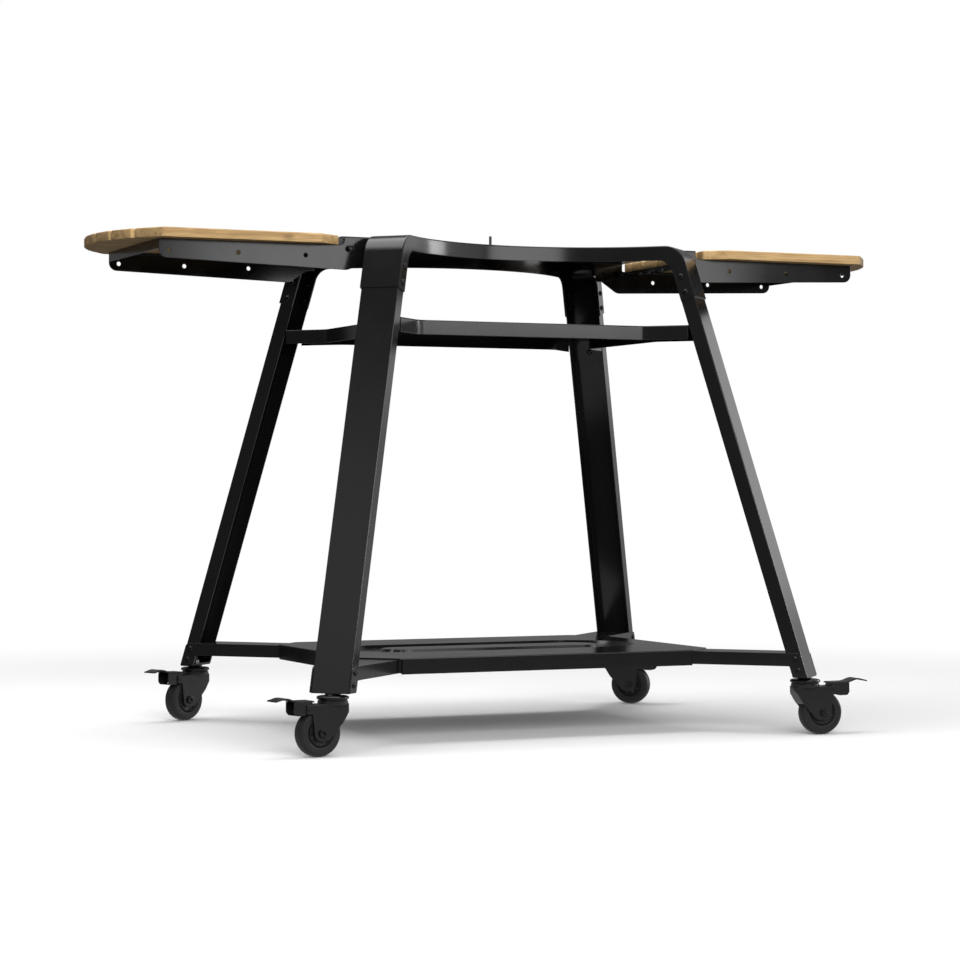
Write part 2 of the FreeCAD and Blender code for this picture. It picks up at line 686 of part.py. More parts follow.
def side_tongue():
    """Top sheet of a side piece where it runs into the leg's channel."""
    top = PANEL_Z - PANEL_SHEET
    back = leg_face(top, LEG_DEPTH) - ARM_GAP
    front = leg_face(top, LEG_SHEET)
    half = LEG_HALF_WIDTH - LEG_SHEET - FACE_GAP
    return Part.makeBox(front - back, 2 * half, SIDE_SHEET, FreeCAD.Vector(back, -half, top - SIDE_SHEET))


def side_piece(sign_x):
    """Flanged sheet under one end of the panel, with two arms out to the legs."""
    top = PANEL_Z - PANEL_SHEET
    low = top - SIDE_FLANGE
    arm_end = leg_face(top, LEG_DEPTH) - ARM_GAP
    solid = plate(side_outline(0, arm_end), low, top)
    inset = ARM_HALF_WIDTH - LEG_HALF_WIDTH
    solid = solid.cut(plate(side_outline(inset, arm_end + PAST), low, top - SIDE_SHEET))
    pieces = []
    for sign_y in (-1, 1):
        pieces.append(to_corner(leg_tab(), 1, sign_y))
        pieces.append(to_corner(leg_tab().mirror(ORIGIN, Y_AXIS), 1, sign_y))
        pieces.append(to_corner(side_tongue(), 1, sign_y))
    solid = solid.fuse(pieces).removeSplitter()
    holes = [cylinder(BOLT_RADIUS + FIT, place, place + Z_AXIS * SIDE_SHEET)
             for place in panel_screw_places() if place.x > 0]
    return mirrored(solid.cut(holes), sign_x, 1)


def shelf_arm():
    """Side of a side shelf's steel frame: tail, pivot and three accessory holes."""
    corners = [(SHELF_TAIL_X, SHELF_TAIL_Z, SHELF_TAIL_RADIUS),
               (SHELF_TAIL_X, SHELF_TAIL_LOW_Z, SHELF_NECK_RADIUS),
               (SHELF_BELLY_X, SHELF_BELLY_Z, SHELF_BELLY_RADIUS),
               (SHELF_END_X, SHELF_END_Z, SHELF_END_RADIUS), (SHELF_END_X, SHELF_TOP_Z, 0),
               (SHELF_NECK_X, SHELF_TOP_Z, SHELF_NECK_RADIUS), (SHELF_NECK_X, SHELF_TAIL_Z, SHELF_NECK_TIP)]
    web = profile(corners, SHELF_WEB_Y, SHELF_WEB_Y + SHELF_SHEET)
    holes = [(PIVOT_X, PIVOT_Z, BOLT_RADIUS + RUNNING), (LOCK_X, PIVOT_Z, BOLT_RADIUS)]
    holes += [(x, ACCESSORY_HOLE_Z, ACCESSORY_HOLE_RADIUS) for x in ACCESSORY_HOLES_X]
    drills = [cylinder(r, FreeCAD.Vector(x, SHELF_WEB_Y - PAST, z),
                       FreeCAD.Vector(x, SHELF_WEB_Y + PAST, z)) for x, z, r in holes]
    return web.cut(drills)


def shelf_frame(sign_x):
    """Steel frame of a side shelf: two arms, a top rim and an outer cross member."""
    outer_y = SHELF_WEB_Y + SHELF_SHEET
    low = SHELF_TOP_Z - SHELF_SHEET
    rim = Part.makeBox(SHELF_END_X - BOARDS_INNER_X, 2 * outer_y, SHELF_SHEET,
                       FreeCAD.Vector(BOARDS_INNER_X, -outer_y, low))
    half = outer_y - SHELF_FLANGE - SHELF_SHEET
    window_end = SHELF_END_X - SHELF_FLANGE
    window = [(x, y, SHELF_WINDOW_RADIUS) for x, y in
              ((SHELF_STRIP_X, half), (SHELF_STRIP_X, -half), (window_end, -half), (window_end, half))]
    rim = rim.cut(plate(window, low, SHELF_TOP_Z))
    cross = Part.makeBox(SHELF_SHEET, 2 * outer_y, SHELF_TOP_Z - SHELF_CROSS_Z,
                         FreeCAD.Vector(SHELF_END_X - SHELF_SHEET, -outer_y, SHELF_CROSS_Z))
    solid = rim.fuse([cross, shelf_arm(), shelf_arm().mirror(ORIGIN, Y_AXIS)]).removeSplitter()
    holes = [cylinder(BOLT_RADIUS + FIT, place, place + Z_AXIS * SHELF_SHEET)
             for place in board_screw_places()]
    return mirrored(solid.cut(holes), sign_x, 1)


def board_screw_places():
    """Screw places under the boards: one per board at each end of the frame."""
    low = SHELF_TOP_Z - SHELF_SHEET
    inner_x = (BOARDS_INNER_X + SHELF_STRIP_X) / 2
    outer_x = SHELF_END_X - SHELF_FLANGE / 2 - SHELF_SHEET / 2
    most = SHELF_WEB_Y + SHELF_SHEET - BOARD_SCREW_MARGIN
    middles = [max(-most, min(most, (k - (BOARD_COUNT - 1) / 2) * BOARD_PITCH)) for k in range(BOARD_COUNT)]
    return [FreeCAD.Vector(x, y, low) for x in (inner_x, outer_x) for y in middles]


def board_screws(sign_x):
    """Wood screws that hold the boards on the frame."""
    length = SHELF_SHEET + (TOP_Z - SHELF_TOP_Z) / 2
    return [mirrored(button_bolt(place, Z_AXIS, length), sign_x, 1) for place in board_screw_places()]


def board_end_x(y):
    """Outer end of the boards at a distance from the shelf's middle line."""
    return BOARDS_ARC_X + math.sqrt(BOARDS_ARC_RADIUS ** 2 - y ** 2)


def board_outline(near, far, last):
    """Plan of one board between two lines; the last board has the shelf's corners."""
    inner = [(BOARDS_INNER_X, near, BOARD_CORNER_RADIUS), (BOARDS_INNER_X, far, BOARD_CORNER_RADIUS)]
    tip_radius = BOARD_CORNER_RADIUS
    if last:
        inner = [inner[0], (BOARDS_INNER_X, BOARDS_CHAMFER_Y, BOARD_CORNER_RADIUS),
                 (BOARDS_CHAMFER_X, far, BOARD_CORNER_RADIUS)]
        tip_radius = BOARDS_OUTER_RADIUS
    return inner + [(board_end_x(far), far, tip_radius), (board_end_x(near), near, BOARD_CORNER_RADIUS)]


def board(number):
    """One board, counted from the shelf's middle line to the rear, with rounded edges."""
    last = number == (BOARD_COUNT - 1) // 2
    near = (number - 0.5) * BOARD_PITCH + BOARD_GAP / 2
    far = (number + 0.5) * BOARD_PITCH - (0 if last else BOARD_GAP / 2)
    solid = plate(board_outline(near, far, last), SHELF_TOP_Z, TOP_Z)
    above = [edge for edge in solid.Edges if edge.BoundBox.ZMin > TOP_Z - TINY]
    solid = solid.makeFillet(BOARD_EDGE_RADIUS, above)
    below = [edge for edge in solid.Edges if edge.BoundBox.ZMax < SHELF_TOP_Z + TINY]
    return solid.makeFillet(BOARD_UNDER_RADIUS, below)


def boards(sign_x):
    """Seven boards side by side, drilled from below for their screws."""
    depth = SHELF_SHEET + (TOP_Z - SHELF_TOP_Z) / 2
    screws = [cylinder(BOLT_RADIUS + FIT, place, place + Z_AXIS * depth) for place in board_screw_places()]
    rear = [board(number) for number in range(1, (BOARD_COUNT - 1) // 2 + 1)]
    front = [piece.mirror(ORIGIN, Y_AXIS) for piece in reversed(rear)]
    return [mirrored(piece.cut(screws), sign_x, 1) for piece in front + [board(0)] + rear]


def pivot_bolt():
    """Socket-headed pivot of a side shelf, with its collar, through arm and ear."""
    seat = SHELF_WEB_Y + SHELF_SHEET + FACE_GAP
    inner = TONGUE_HALF_WIDTH - TOP_SHEET - NUT_HEIGHT - BOLT_POINT
    top = seat + COLLAR + PIVOT_HEAD
    outline = [(0, inner), (BOLT_RADIUS, inner), (BOLT_RADIUS, seat), (COLLAR_RADIUS, seat),
               (COLLAR_RADIUS, seat + COLLAR), (PIVOT_HEAD_RADIUS, seat + COLLAR), (PIVOT_HEAD_RADIUS, top),
               (SOCKET_RADIUS, top), (SOCKET_RADIUS, top - SOCKET_DEPTH), (0, top - SOCKET_DEPTH)]
    return turned(outline, FreeCAD.Vector(PIVOT_X, 0, PIVOT_Z), Y_AXIS)


def pivot_nut():
    """Flanged nut of a pivot bolt, inside the ear."""
    seat = FreeCAD.Vector(PIVOT_X, TONGUE_HALF_WIDTH - TOP_SHEET, PIVOT_Z)
    washer = Part.makeCylinder(WASHER_RADIUS, WASHER, seat, Y_AXIS * -1)
    washer = washer.cut(Part.makeCylinder(BOLT_RADIUS + FIT, WASHER, seat, Y_AXIS * -1))
    nut = hexagon(NUT_FLATS, NUT_HEIGHT - WASHER, BOLT_RADIUS + FIT, seat - Y_AXIS * WASHER, Y_AXIS * -1)
    return washer.fuse(nut).removeSplitter()


def lock_button():
    """Small button in the ear, opposite the hole in the arm's tail."""
    inner = TONGUE_HALF_WIDTH - TOP_SHEET
    tip = TONGUE_HALF_WIDTH + BUTTON_PROUD
    outline = [(0, inner - BUTTON_HEAD), (BUTTON_RADIUS, inner - BUTTON_HEAD), (BUTTON_RADIUS, inner),
               (BOLT_RADIUS, inner), (BOLT_RADIUS, tip), (0, tip)]
    return turned(outline, FreeCAD.Vector(LOCK_X, 0, PIVOT_Z), Y_AXIS)


def caster_stem():
    """Fixed half of a caster: threaded stem, upper race and kingpin."""
    seat = LEG_FOOT_Z
    top = seat + FOOT_PLATE + STEM_LENGTH
    rim = seat - STEM_DISH - STEM_RIM
    under = RACE_Z + FACE_GAP
    head = CROWN_Z - FORK_SHEET - FACE_GAP
    outline = [(0, top), (STEM_RADIUS - STEM_POINT, top), (STEM_RADIUS, top - STEM_POINT), (STEM_RADIUS, seat),
               (STEM_COLLAR_RADIUS, seat), (STEM_COLLAR_RADIUS, seat - STEM_COLLAR),
               (STEM_DISH_RADIUS, seat - STEM_DISH), (RACE_RADIUS, rim), (RACE_RADIUS, rim - STEM_RIM),
               (STEM_DISH_RADIUS, under), (KINGPIN_RADIUS, under), (KINGPIN_RADIUS, head),
               (KINGPIN_HEAD_RADIUS, head), (KINGPIN_HEAD_RADIUS - STEM_POINT, head - KINGPIN_HEAD),
               (0, head - KINGPIN_HEAD)]
    return turned(outline)


def stem_nut():
    """Nut on a caster's stem, above the foot plate."""
    seat = FreeCAD.Vector(0, 0, LEG_FOOT_Z + FOOT_PLATE)
    return hexagon(STEM_NUT_FLATS, STEM_NUT_HEIGHT, STEM_RADIUS + FIT, seat, Z_AXIS)


def fork_side():
    """Side view of a caster's fork: sloping horn, rounded axle end and brake ears."""
    low = WHEEL_RADIUS - CHEEK_RADIUS
    return [(HORN_X, CROWN_Z, LAP), (HORN_X, HORN_Z, HORN_RADIUS),
            (HORN_WAIST_X, HORN_WAIST_Z, HORN_WAIST_RADIUS),
            (TRAIL - CHEEK_RADIUS, low, CHEEK_RADIUS - LAP), (TRAIL + CHEEK_RADIUS, low, CHEEK_RADIUS - LAP),
            (CHEEK_REAR_X, CHEEK_REAR_Z, CHEEK_REAR_RADIUS),
            (CHEEK_REAR_X + LAP, BRAKE_EAR_Z, BRAKE_EAR_RADIUS),
            (BRAKE_EAR_X, BRAKE_EAR_Z, BRAKE_EAR_RADIUS), (BRAKE_EAR_X, CROWN_Z, FORK_SHEET)]


def fork_room():
    """Side view of the room inside the horn and between the cheeks."""
    far = RACE_RADIUS * 4
    return [(HORN_X + FORK_SHEET, CROWN_Z - FORK_SHEET, LAP), (HORN_X + FORK_SHEET, HORN_Z, HORN_RADIUS),
            (HORN_WAIST_X + FORK_SHEET, HORN_WAIST_Z, HORN_WAIST_RADIUS), (TRAIL - CHEEK_RADIUS, PAST, 0),
            (far, PAST, 0), (far, CROWN_Z - FORK_SHEET, 0)]


def horn_plan(radius, half_width):
    """Plan of the fork: round in front of the swivel axis, straight behind it."""
    high = WHEEL_RADIUS * 3
    rear = Part.makeBox(RACE_RADIUS * 4, 2 * half_width, high, FreeCAD.Vector(0, -half_width, 0))
    return Part.makeCylinder(radius, high).fuse(rear).removeSplitter()


def fork():
    """Stamped fork: closed horn in front, two cheeks down to the axle, raised lower race."""
    inside = FORK_HALF_WIDTH - FORK_SHEET
    outer = profile(fork_side(), -FORK_HALF_WIDTH, FORK_HALF_WIDTH)
    outer = outer.common(horn_plan(RACE_RADIUS, FORK_HALF_WIDTH))
    hollow = profile(fork_room(), -inside, inside).common(horn_plan(RACE_RADIUS - FORK_SHEET, inside))
    solid = outer.cut(hollow)
    wheel_room = cross_pin(WHEEL_RADIUS + WHEEL_CLEARANCE, TRAIL, WHEEL_RADIUS, inside)
    pedal_room = Part.makeBox(PEDAL_ROOM, 2 * inside, PAST,
                              FreeCAD.Vector(PEDAL_START_X - BRAKE_EAR_RADIUS, -inside, CROWN_Z - PAST / 2))
    race = turned([(0, CROWN_Z - FORK_SHEET), (RACE_TOP_RADIUS, CROWN_Z - FORK_SHEET),
                   (RACE_LOW_RADIUS, CROWN_Z), (RACE_LOW_RADIUS, RACE_Z - RACE_BEVEL),
                   (RACE_TOP_RADIUS, RACE_Z), (0, RACE_Z)])
    solid = solid.cut([wheel_room, pedal_room]).fuse(race).removeSplitter()
    kingpin = Part.makeCylinder(KINGPIN_RADIUS + RUNNING, WHEEL_RADIUS * 3)
    axle_hole = cross_pin(AXLE_RADIUS + FIT, TRAIL, WHEEL_RADIUS, FORK_HALF_WIDTH + PAST)
    pin_hole = cross_pin(PEDAL_PIN_RADIUS + FIT, PEDAL_PIN_X, PEDAL_PIN_Z, FORK_HALF_WIDTH + PAST)
    return solid.cut([kingpin, axle_hole, pin_hole])


def cross_pin(radius, x, z, reach):
    """Cylinder across a caster at a place in its side view."""
    return cylinder(radius, FreeCAD.Vector(x, -reach, z), FreeCAD.Vector(x, reach, z))


def wheel_turned(half):
    """Solid of revolution about the wheel's axle, from one side's (radius, width) points."""
    points = half + [(radius, -width) for radius, width in reversed(half)]
    return turned(points, FreeCAD.Vector(TRAIL, 0, WHEEL_RADIUS), Y_AXIS)


def tyre():
    """Rubber tyre with rounded shoulders."""
    return wheel_turned([(HUB_RADIUS, TYRE_HALF_WIDTH - LAP), (TYRE_SIDE_RADIUS, TYRE_HALF_WIDTH),
                         (WHEEL_RADIUS - TYRE_SHOULDER, TYRE_HALF_WIDTH - TYRE_SHOULDER),
                         (WHEEL_RADIUS, TYRE_TREAD_HALF_WIDTH)])


def hub():
    """Plastic hub with a dished face on both sides and a boss between the cheeks."""
    return wheel_turned([(AXLE_RADIUS + RUNNING, HUB_HALF_WIDTH), (HUB_BOSS_RADIUS, HUB_HALF_WIDTH),
                         (HUB_BOSS_RADIUS + LAP, TYRE_HALF_WIDTH - HUB_DISH_DEEP),
                         (HUB_DISH_RADIUS, TYRE_HALF_WIDTH - HUB_DISH), (HUB_RIM_RADIUS, TYRE_HALF_WIDTH),
                         (HUB_RADIUS, TYRE_HALF_WIDTH - LAP)])


def axle():
    """Axle bolt through fork and hub, with its head and nut outside the cheeks."""
    seat = FORK_HALF_WIDTH
    top = seat + AXLE_HEAD
    edge = AXLE_HEAD_RADIUS - AXLE_CHAMFER
    points = [(0, -top), (edge, -top), (AXLE_HEAD_RADIUS, AXLE_CHAMFER - top), (AXLE_HEAD_RADIUS, -seat),
              (AXLE_RADIUS, -seat), (AXLE_RADIUS, seat), (AXLE_HEAD_RADIUS, seat),
              (AXLE_HEAD_RADIUS, top - AXLE_CHAMFER), (edge, top), (AXLE_SOCKET_RADIUS, top),
              (AXLE_SOCKET_RADIUS, top - AXLE_SOCKET_DEPTH), (0, top - AXLE_SOCKET_DEPTH)]
    return turned(points, FreeCAD.Vector(TRAIL, 0, WHEEL_RADIUS), Y_AXIS)


def brake_pedal():
    """Pedal plate with a hump near its tip, over a block that hangs on the cross pin."""
    half = FORK_HALF_WIDTH - FORK_SHEET - FACE_GAP
    top = PEDAL_START_Z + PEDAL_SHEET
    plate_side = [(PEDAL_START_X, PEDAL_START_Z, 0), (PEDAL_START_X, top, LAP),
                  (PEDAL_DIP_X, top + FACE_GAP, PEDAL_DIP_RADIUS),
                  (PEDAL_HUMP_X, PEDAL_HUMP_Z, PEDAL_HUMP_RADIUS), (PEDAL_TIP_X, PEDAL_TIP_Z, LAP),
                  (PEDAL_TIP_X, PEDAL_TIP_Z - PEDAL_TIP_SHEET, 0),
                  (PEDAL_HUMP_X, PEDAL_HUMP_Z - PEDAL_SHEET, PEDAL_HUMP_RADIUS - PEDAL_SHEET),
                  (PEDAL_DIP_X + LAP, PEDAL_START_Z, PEDAL_DIP_RADIUS - PAST)]
    block_top = PEDAL_START_Z + LAP
    block_side = [(BLOCK_LEFT_X, BLOCK_PAD_Z, BLOCK_CORNER - LAP),
                  (PEDAL_PIN_X + PEDAL_PIN_RADIUS, BLOCK_LOW_Z + BLOCK_CORNER, BLOCK_CORNER),
                  (BLOCK_TOE_X, BLOCK_LOW_Z, BLOCK_CORNER / 2),
                  (BLOCK_RIGHT_X - BLOCK_CORNER, BLOCK_LOW_Z, BLOCK_CORNER),
                  (BLOCK_RIGHT_X, BLOCK_LOW_Z + BLOCK_CORNER + LAP, BLOCK_CORNER),
                  (BLOCK_RIGHT_X, block_top, 0), (BLOCK_LEFT_X, block_top, 0)]
    solid = profile(plate_side, -half, half).fuse(profile(block_side, -half, half)).removeSplitter()
    return solid.cut(cross_pin(PEDAL_PIN_RADIUS + RUNNING, PEDAL_PIN_X, PEDAL_PIN_Z, FORK_HALF_WIDTH))


def pedal_pin():
    """Pin on which the brake pedal rocks."""
    return cross_pin(PEDAL_PIN_RADIUS, PEDAL_PIN_X, PEDAL_PIN_Z, FORK_HALF_WIDTH + PEDAL_PIN_PROUD)


def to_caster(shape, corner):
    """Turn a caster piece to its corner's direction and move it under the leg."""
    shape = shape.copy()
    shape.rotate(ORIGIN, Z_AXIS, CASTER_TURN[corner])
    sign_x, sign_y = CORNERS[corner]
    step = stem_place() / ROOT2
    shape.translate(FreeCAD.Vector(sign_x * (LEG_FOOT_X + step), sign_y * (LEG_FOOT_Y + step), 0))
    return shape


def build():
    """Every sub-part by name; a group of equal fasteners is one sub-part."""
    parts = {
        "top_frame": [top_frame()],
        "centre_stud": [centre_stud()],
        "top_bolts": leg_bolts(TOP_BOLTS, TOP_BOLT_DEPTH),
        "top_nuts": leg_nuts(TOP_BOLTS, TOP_BOLT_DEPTH),
        "middle_shelf": [middle_shelf()],
        "middle_shelf_screws": middle_screws(),
        "bottom_panel": [bottom_panel()],
        "panel_screws": panel_screws(),
        "bottom_bolts": leg_bolts(BOTTOM_BOLTS, BOTTOM_BOLT_DEPTH),
        "bottom_nuts": leg_nuts(BOTTOM_BOLTS, BOTTOM_BOLT_DEPTH),
        "foot_plates": [to_corner(foot_plate(), *signs) for signs in CORNERS.values()],
        "stem_nuts": [to_caster(stem_nut(), corner) for corner in CORNERS],
        "pivot_bolts": [mirrored(pivot_bolt(), *signs) for signs in CORNERS.values()],
        "pivot_nuts": [mirrored(pivot_nut(), *signs) for signs in CORNERS.values()],
        "lock_buttons": [mirrored(lock_button(), *signs) for signs in CORNERS.values()],
    }
    for corner, signs in CORNERS.items():
        parts["leg_" + corner] = [to_corner(leg(), *signs)]
    for side, sign_x in (("left", -1), ("right", 1)):
        parts["bottom_side_" + side] = [side_piece(sign_x)]
        parts["shelf_frame_" + side] = [shelf_frame(sign_x)]
        parts["boards_" + side] = boards(sign_x)
        parts["board_screws_" + side] = board_screws(sign_x)
    pieces = {"caster_stem": caster_stem(), "fork": fork(), "tyre": tyre(), "hub": hub(), "axle": axle(),
              "brake_pedal": brake_pedal(), "pedal_pin": pedal_pin()}
    for corner in CORNERS:
        for name, piece in pieces.items():
            parts[name + "_" + corner] = [to_caster(piece, corner)]
    return parts


def main():
    """Write one file per sub-part."""
    os.makedirs("parts", exist_ok=True)
    for name, solids in build().items():
        shape = solids[0] if len(solids) == 1 else Part.makeCompound(solids)
        shape.exportStep("parts/" + name + ".step")
        print(name, len(shape.Solids), round(shape.Volume), shape.isValid())


main()
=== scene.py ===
"""Outdoor pizza oven table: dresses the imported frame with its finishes, rebuilds the boards,
bolts, stud, wheels, brake pedals and swivel heads in finer detail, and sets the studio round it.

Every length is in metres, in the frame's own coordinates: origin on the floor under the
middle of the table, X to the right, Y to the back, Z up.
"""

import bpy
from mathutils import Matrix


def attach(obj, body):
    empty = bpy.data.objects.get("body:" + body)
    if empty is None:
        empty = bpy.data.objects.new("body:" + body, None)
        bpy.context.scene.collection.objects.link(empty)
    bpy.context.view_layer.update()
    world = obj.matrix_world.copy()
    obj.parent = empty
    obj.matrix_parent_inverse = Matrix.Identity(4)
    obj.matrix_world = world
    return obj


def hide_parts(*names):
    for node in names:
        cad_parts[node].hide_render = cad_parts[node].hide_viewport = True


bl_info = {
    "name": "Outdoor Oven Table",
    "version": (1, 1, 0),
    "blender": (4, 5, 0),
    "location": "View3D > Sidebar > Oven Table",
    "description": "Dresses an outdoor oven table with side shelves and casters",
    "category": "Add Mesh",
}

import bmesh
import bpy
import math
from bpy.props import FloatProperty, FloatVectorProperty, IntProperty, PointerProperty
from mathutils import Matrix, Vector

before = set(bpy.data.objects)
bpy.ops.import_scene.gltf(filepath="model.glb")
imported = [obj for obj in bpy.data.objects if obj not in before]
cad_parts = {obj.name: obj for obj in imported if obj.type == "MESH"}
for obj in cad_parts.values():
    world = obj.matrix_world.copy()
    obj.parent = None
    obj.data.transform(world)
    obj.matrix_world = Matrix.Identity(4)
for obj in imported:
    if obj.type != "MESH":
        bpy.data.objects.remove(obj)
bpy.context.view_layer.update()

TABLE_TOP = 0.8315

# Signs of X and Y at each corner and side.
CORNERS = {"fl": (-1, -1), "fr": (1, -1), "rl": (-1, 1), "rr": (1, 1)}
SIDES = {"left": -1, "right": 1}

# Direction from each caster's stem to its axle, in degrees.
CASTER_TURN = {"fl": 189.7, "fr": -6.0, "rl": 204.5, "rr": -41.3}


# Sizes and colours a user may change.

class SteelSettings(bpy.types.PropertyGroup):
    """Powder-coated sheet steel."""
    colour: FloatVectorProperty(
        name="Colour", description="Colour of the powder coat", subtype="COLOR",
        size=4, min=0, max=1, default=(0.0062, 0.0062, 0.0065, 1))
    roughness: FloatProperty(
        name="Roughness", description="How matt the powder coat is",
        subtype="FACTOR", min=0, max=1, default=0.17)
    peel: FloatProperty(
        name="Orange Peel", description="Width of the ripples in the coat",
        unit="LENGTH", min=0.0002, max=0.01, default=0.0018)
    edge: FloatProperty(
        name="Edge", description="Radius at which the coat runs round a cut edge",
        unit="LENGTH", min=0.0, max=0.003, default=0.0009)


class WoodSettings(bpy.types.PropertyGroup):
    """Hardwood boards of the side shelves."""
    light: FloatVectorProperty(
        name="Light Wood", description="Colour of the pale bands of the grain",
        subtype="COLOR", size=4, min=0, max=1, default=(0.73, 0.485, 0.226, 1))
    dark: FloatVectorProperty(
        name="Dark Wood", description="Colour of the darker bands of the grain",
        subtype="COLOR", size=4, min=0, max=1, default=(0.4, 0.23, 0.095, 1))
    edge_radius: FloatProperty(
        name="Edge Radius", description="Rounding along a board's upper edges",
        unit="LENGTH", min=0.0005, max=0.005, default=0.0025)
    gap: FloatProperty(
        name="Gap", description="Gap between two boards",
        unit="LENGTH", min=0.0003, max=0.004, default=0.0016)


class FastenerSettings(bpy.types.PropertyGroup):
    """Bolts, nuts and the centre stud."""
    head_radius: FloatProperty(
        name="Head Radius", description="Radius of a button head",
        unit="LENGTH", min=0.003, max=0.006, default=0.005)
    socket_flats: FloatProperty(
        name="Socket", description="Width across the flats of a head's hexagon socket",
        unit="LENGTH", min=0.001, max=0.006, default=0.0032)
    thread_pitch: FloatProperty(
        name="Thread Pitch", description="Pitch of the centre stud's thread",
        unit="LENGTH", min=0.0004, max=0.002, default=0.0008)


class CasterSettings(bpy.types.PropertyGroup):
    """Wheels, forks and swivel heads."""
    tyre: FloatVectorProperty(
        name="Tyre", description="Colour of the rubber", subtype="COLOR",
        size=4, min=0, max=1, default=(0.0125, 0.0125, 0.0125, 1))
    hub: FloatVectorProperty(
        name="Hub", description="Colour of the moulded hub", subtype="COLOR",
        size=4, min=0, max=1, default=(0.011, 0.011, 0.0113, 1))
    steel: FloatVectorProperty(
        name="Fork", description="Colour of the coat on forks and pedals", subtype="COLOR",
        size=4, min=0, max=1, default=(0.011, 0.011, 0.0113, 1))
    ribs: IntProperty(
        name="Ribs", description="Ribs on each face of a hub", min=3, max=16, default=8)
    segments: IntProperty(
        name="Segments", description="Steps round each wheel", min=24, max=256, default=112)


class StudioSettings(bpy.types.PropertyGroup):
    """Camera, floor and lamps."""
    lens: FloatProperty(
        name="Lens", description="Focal length of the camera in millimetres",
        min=20, max=300, default=97.185)
    camera: FloatVectorProperty(
        name="Camera", description="Place of the camera", subtype="XYZ",
        unit="LENGTH", size=3, default=(-1.8614, -4.1266, 0.4204))
    aim: FloatVectorProperty(
        name="Aim", description="Turn of the camera in degrees: pitch and yaw",
        size=2, default=(90.13, -24.05))
    ambient: FloatProperty(
        name="Ambient", description="Strength of the plain light from all round",
        min=0, max=2, default=0.3)
    shade: FloatProperty(
        name="Shade", description="Share of the floor near the table that is lit and takes the shadow",
        subtype="FACTOR", min=0, max=1, default=0.98)


# Materials.

def node_material(name):
    """A new material with its node tree emptied, and its output node."""
    material = bpy.data.materials.new(name)
    material.use_nodes = True
    tree = material.node_tree
    tree.nodes.clear()
    output = tree.nodes.new("ShaderNodeOutputMaterial")
    return material, tree, output


def add(tree, kind, inputs=None, **values):
    """A node of a kind, with its own values and its sockets set or linked."""
    node = tree.nodes.new(kind)
    for key, value in values.items():
        setattr(node, key, value)
    for key, value in (inputs or {}).items():
        socket = node.inputs[key]
        if isinstance(value, bpy.types.NodeSocket):
            tree.links.new(value, socket)
        else:
            socket.default_value = value
    return node


def maths(tree, operation, *values):
    """The result of a Math node."""
    return add(tree, "ShaderNodeMath", dict(enumerate(values)), operation=operation).outputs[0]


def ramp(tree, factor, stops):
    """A colour ramp over (position, colour) stops."""
    node = add(tree, "ShaderNodeValToRGB", {"Fac": factor})
    points = node.color_ramp.elements
    while len(points) < len(stops):
        points.new(1.0)
    for point, (position, colour) in zip(points, stops):
        point.position = position
        point.color = colour
    return node.outputs["Color"]


def span(tree, value, low, high, start, end):
    """A value mapped from one range to another, held at the ends."""
    return add(tree, "ShaderNodeMapRange", {"Value": value, "From Min": low, "From Max": high,
                                            "To Min": start, "To Max": end}).outputs[0]


def noise(tree, vector, scale, detail=2.0, roughness=0.5, distortion=0.0):
    """The grey result of a noise texture."""
    return add(tree, "ShaderNodeTexNoise", {"Vector": vector, "Scale": scale, "Detail": detail,
                                            "Roughness": roughness,
                                            "Distortion": distortion}).outputs["Fac"]


def grey(value):
    """A grey as a colour."""
    return (value, value, value, 1)


def scaled(colour, factor):
    """A colour made lighter or darker."""
    return tuple(min(c * factor, 1.0) for c in colour[:3]) + (1,)


def powder_coat(name, colour, roughness, peel, edge):
    """Satin powder coat: fine ripples, rounded cut edges, and a faint haze of handling."""
    material, tree, output = node_material(name)
    place = add(tree, "ShaderNodeTexCoord").outputs["Object"]
    ripple = noise(tree, place, scale=1 / peel)
    speck = noise(tree, place, scale=2600.0, detail=1.0)
    cloud = noise(tree, place, scale=9.0, detail=4.0, roughness=0.6)
    matt = span(tree, cloud, 0.3, 0.7, roughness - 0.02, roughness + 0.03)
    tint = ramp(tree, cloud, [(0.35, scaled(colour, 0.9)), (0.7, scaled(colour, 1.15))])
    height = maths(tree, "ADD", ripple, speck)
    rounded = add(tree, "ShaderNodeBevel", {"Radius": edge}, samples=6).outputs[0]
    bump = add(tree, "ShaderNodeBump", {"Height": height, "Strength": 0.06,
                                        "Distance": 0.00008, "Normal": rounded})
    shader = add(tree, "ShaderNodeBsdfPrincipled", {
        "Base Color": tint, "Roughness": matt, "Normal": bump.outputs[0],
        "Specular IOR Level": 0.5})
    tree.links.new(shader.outputs[0], output.inputs["Surface"])
    return material


# Just under one lane to a board's pitch, so that each board's outer edge stays in its own lane.
LANES_PER_METRE = 19.98
TONE_SHIFT = (3.0, 3.0, 3.0)
GRAIN_SCALE = (2.6, 42.0, 60.0)
PATCH_SCALE = (5.0, 14.0, 16.0)
PORE_SCALE = (26.0, 700.0, 700.0)
KNOT_SCALE = (9.0, 19.0, 19.0)


def stretched(tree, vector, scale):
    """A vector scaled along each axis."""
    return add(tree, "ShaderNodeMapping", {"Vector": vector, "Scale": scale}).outputs[0]


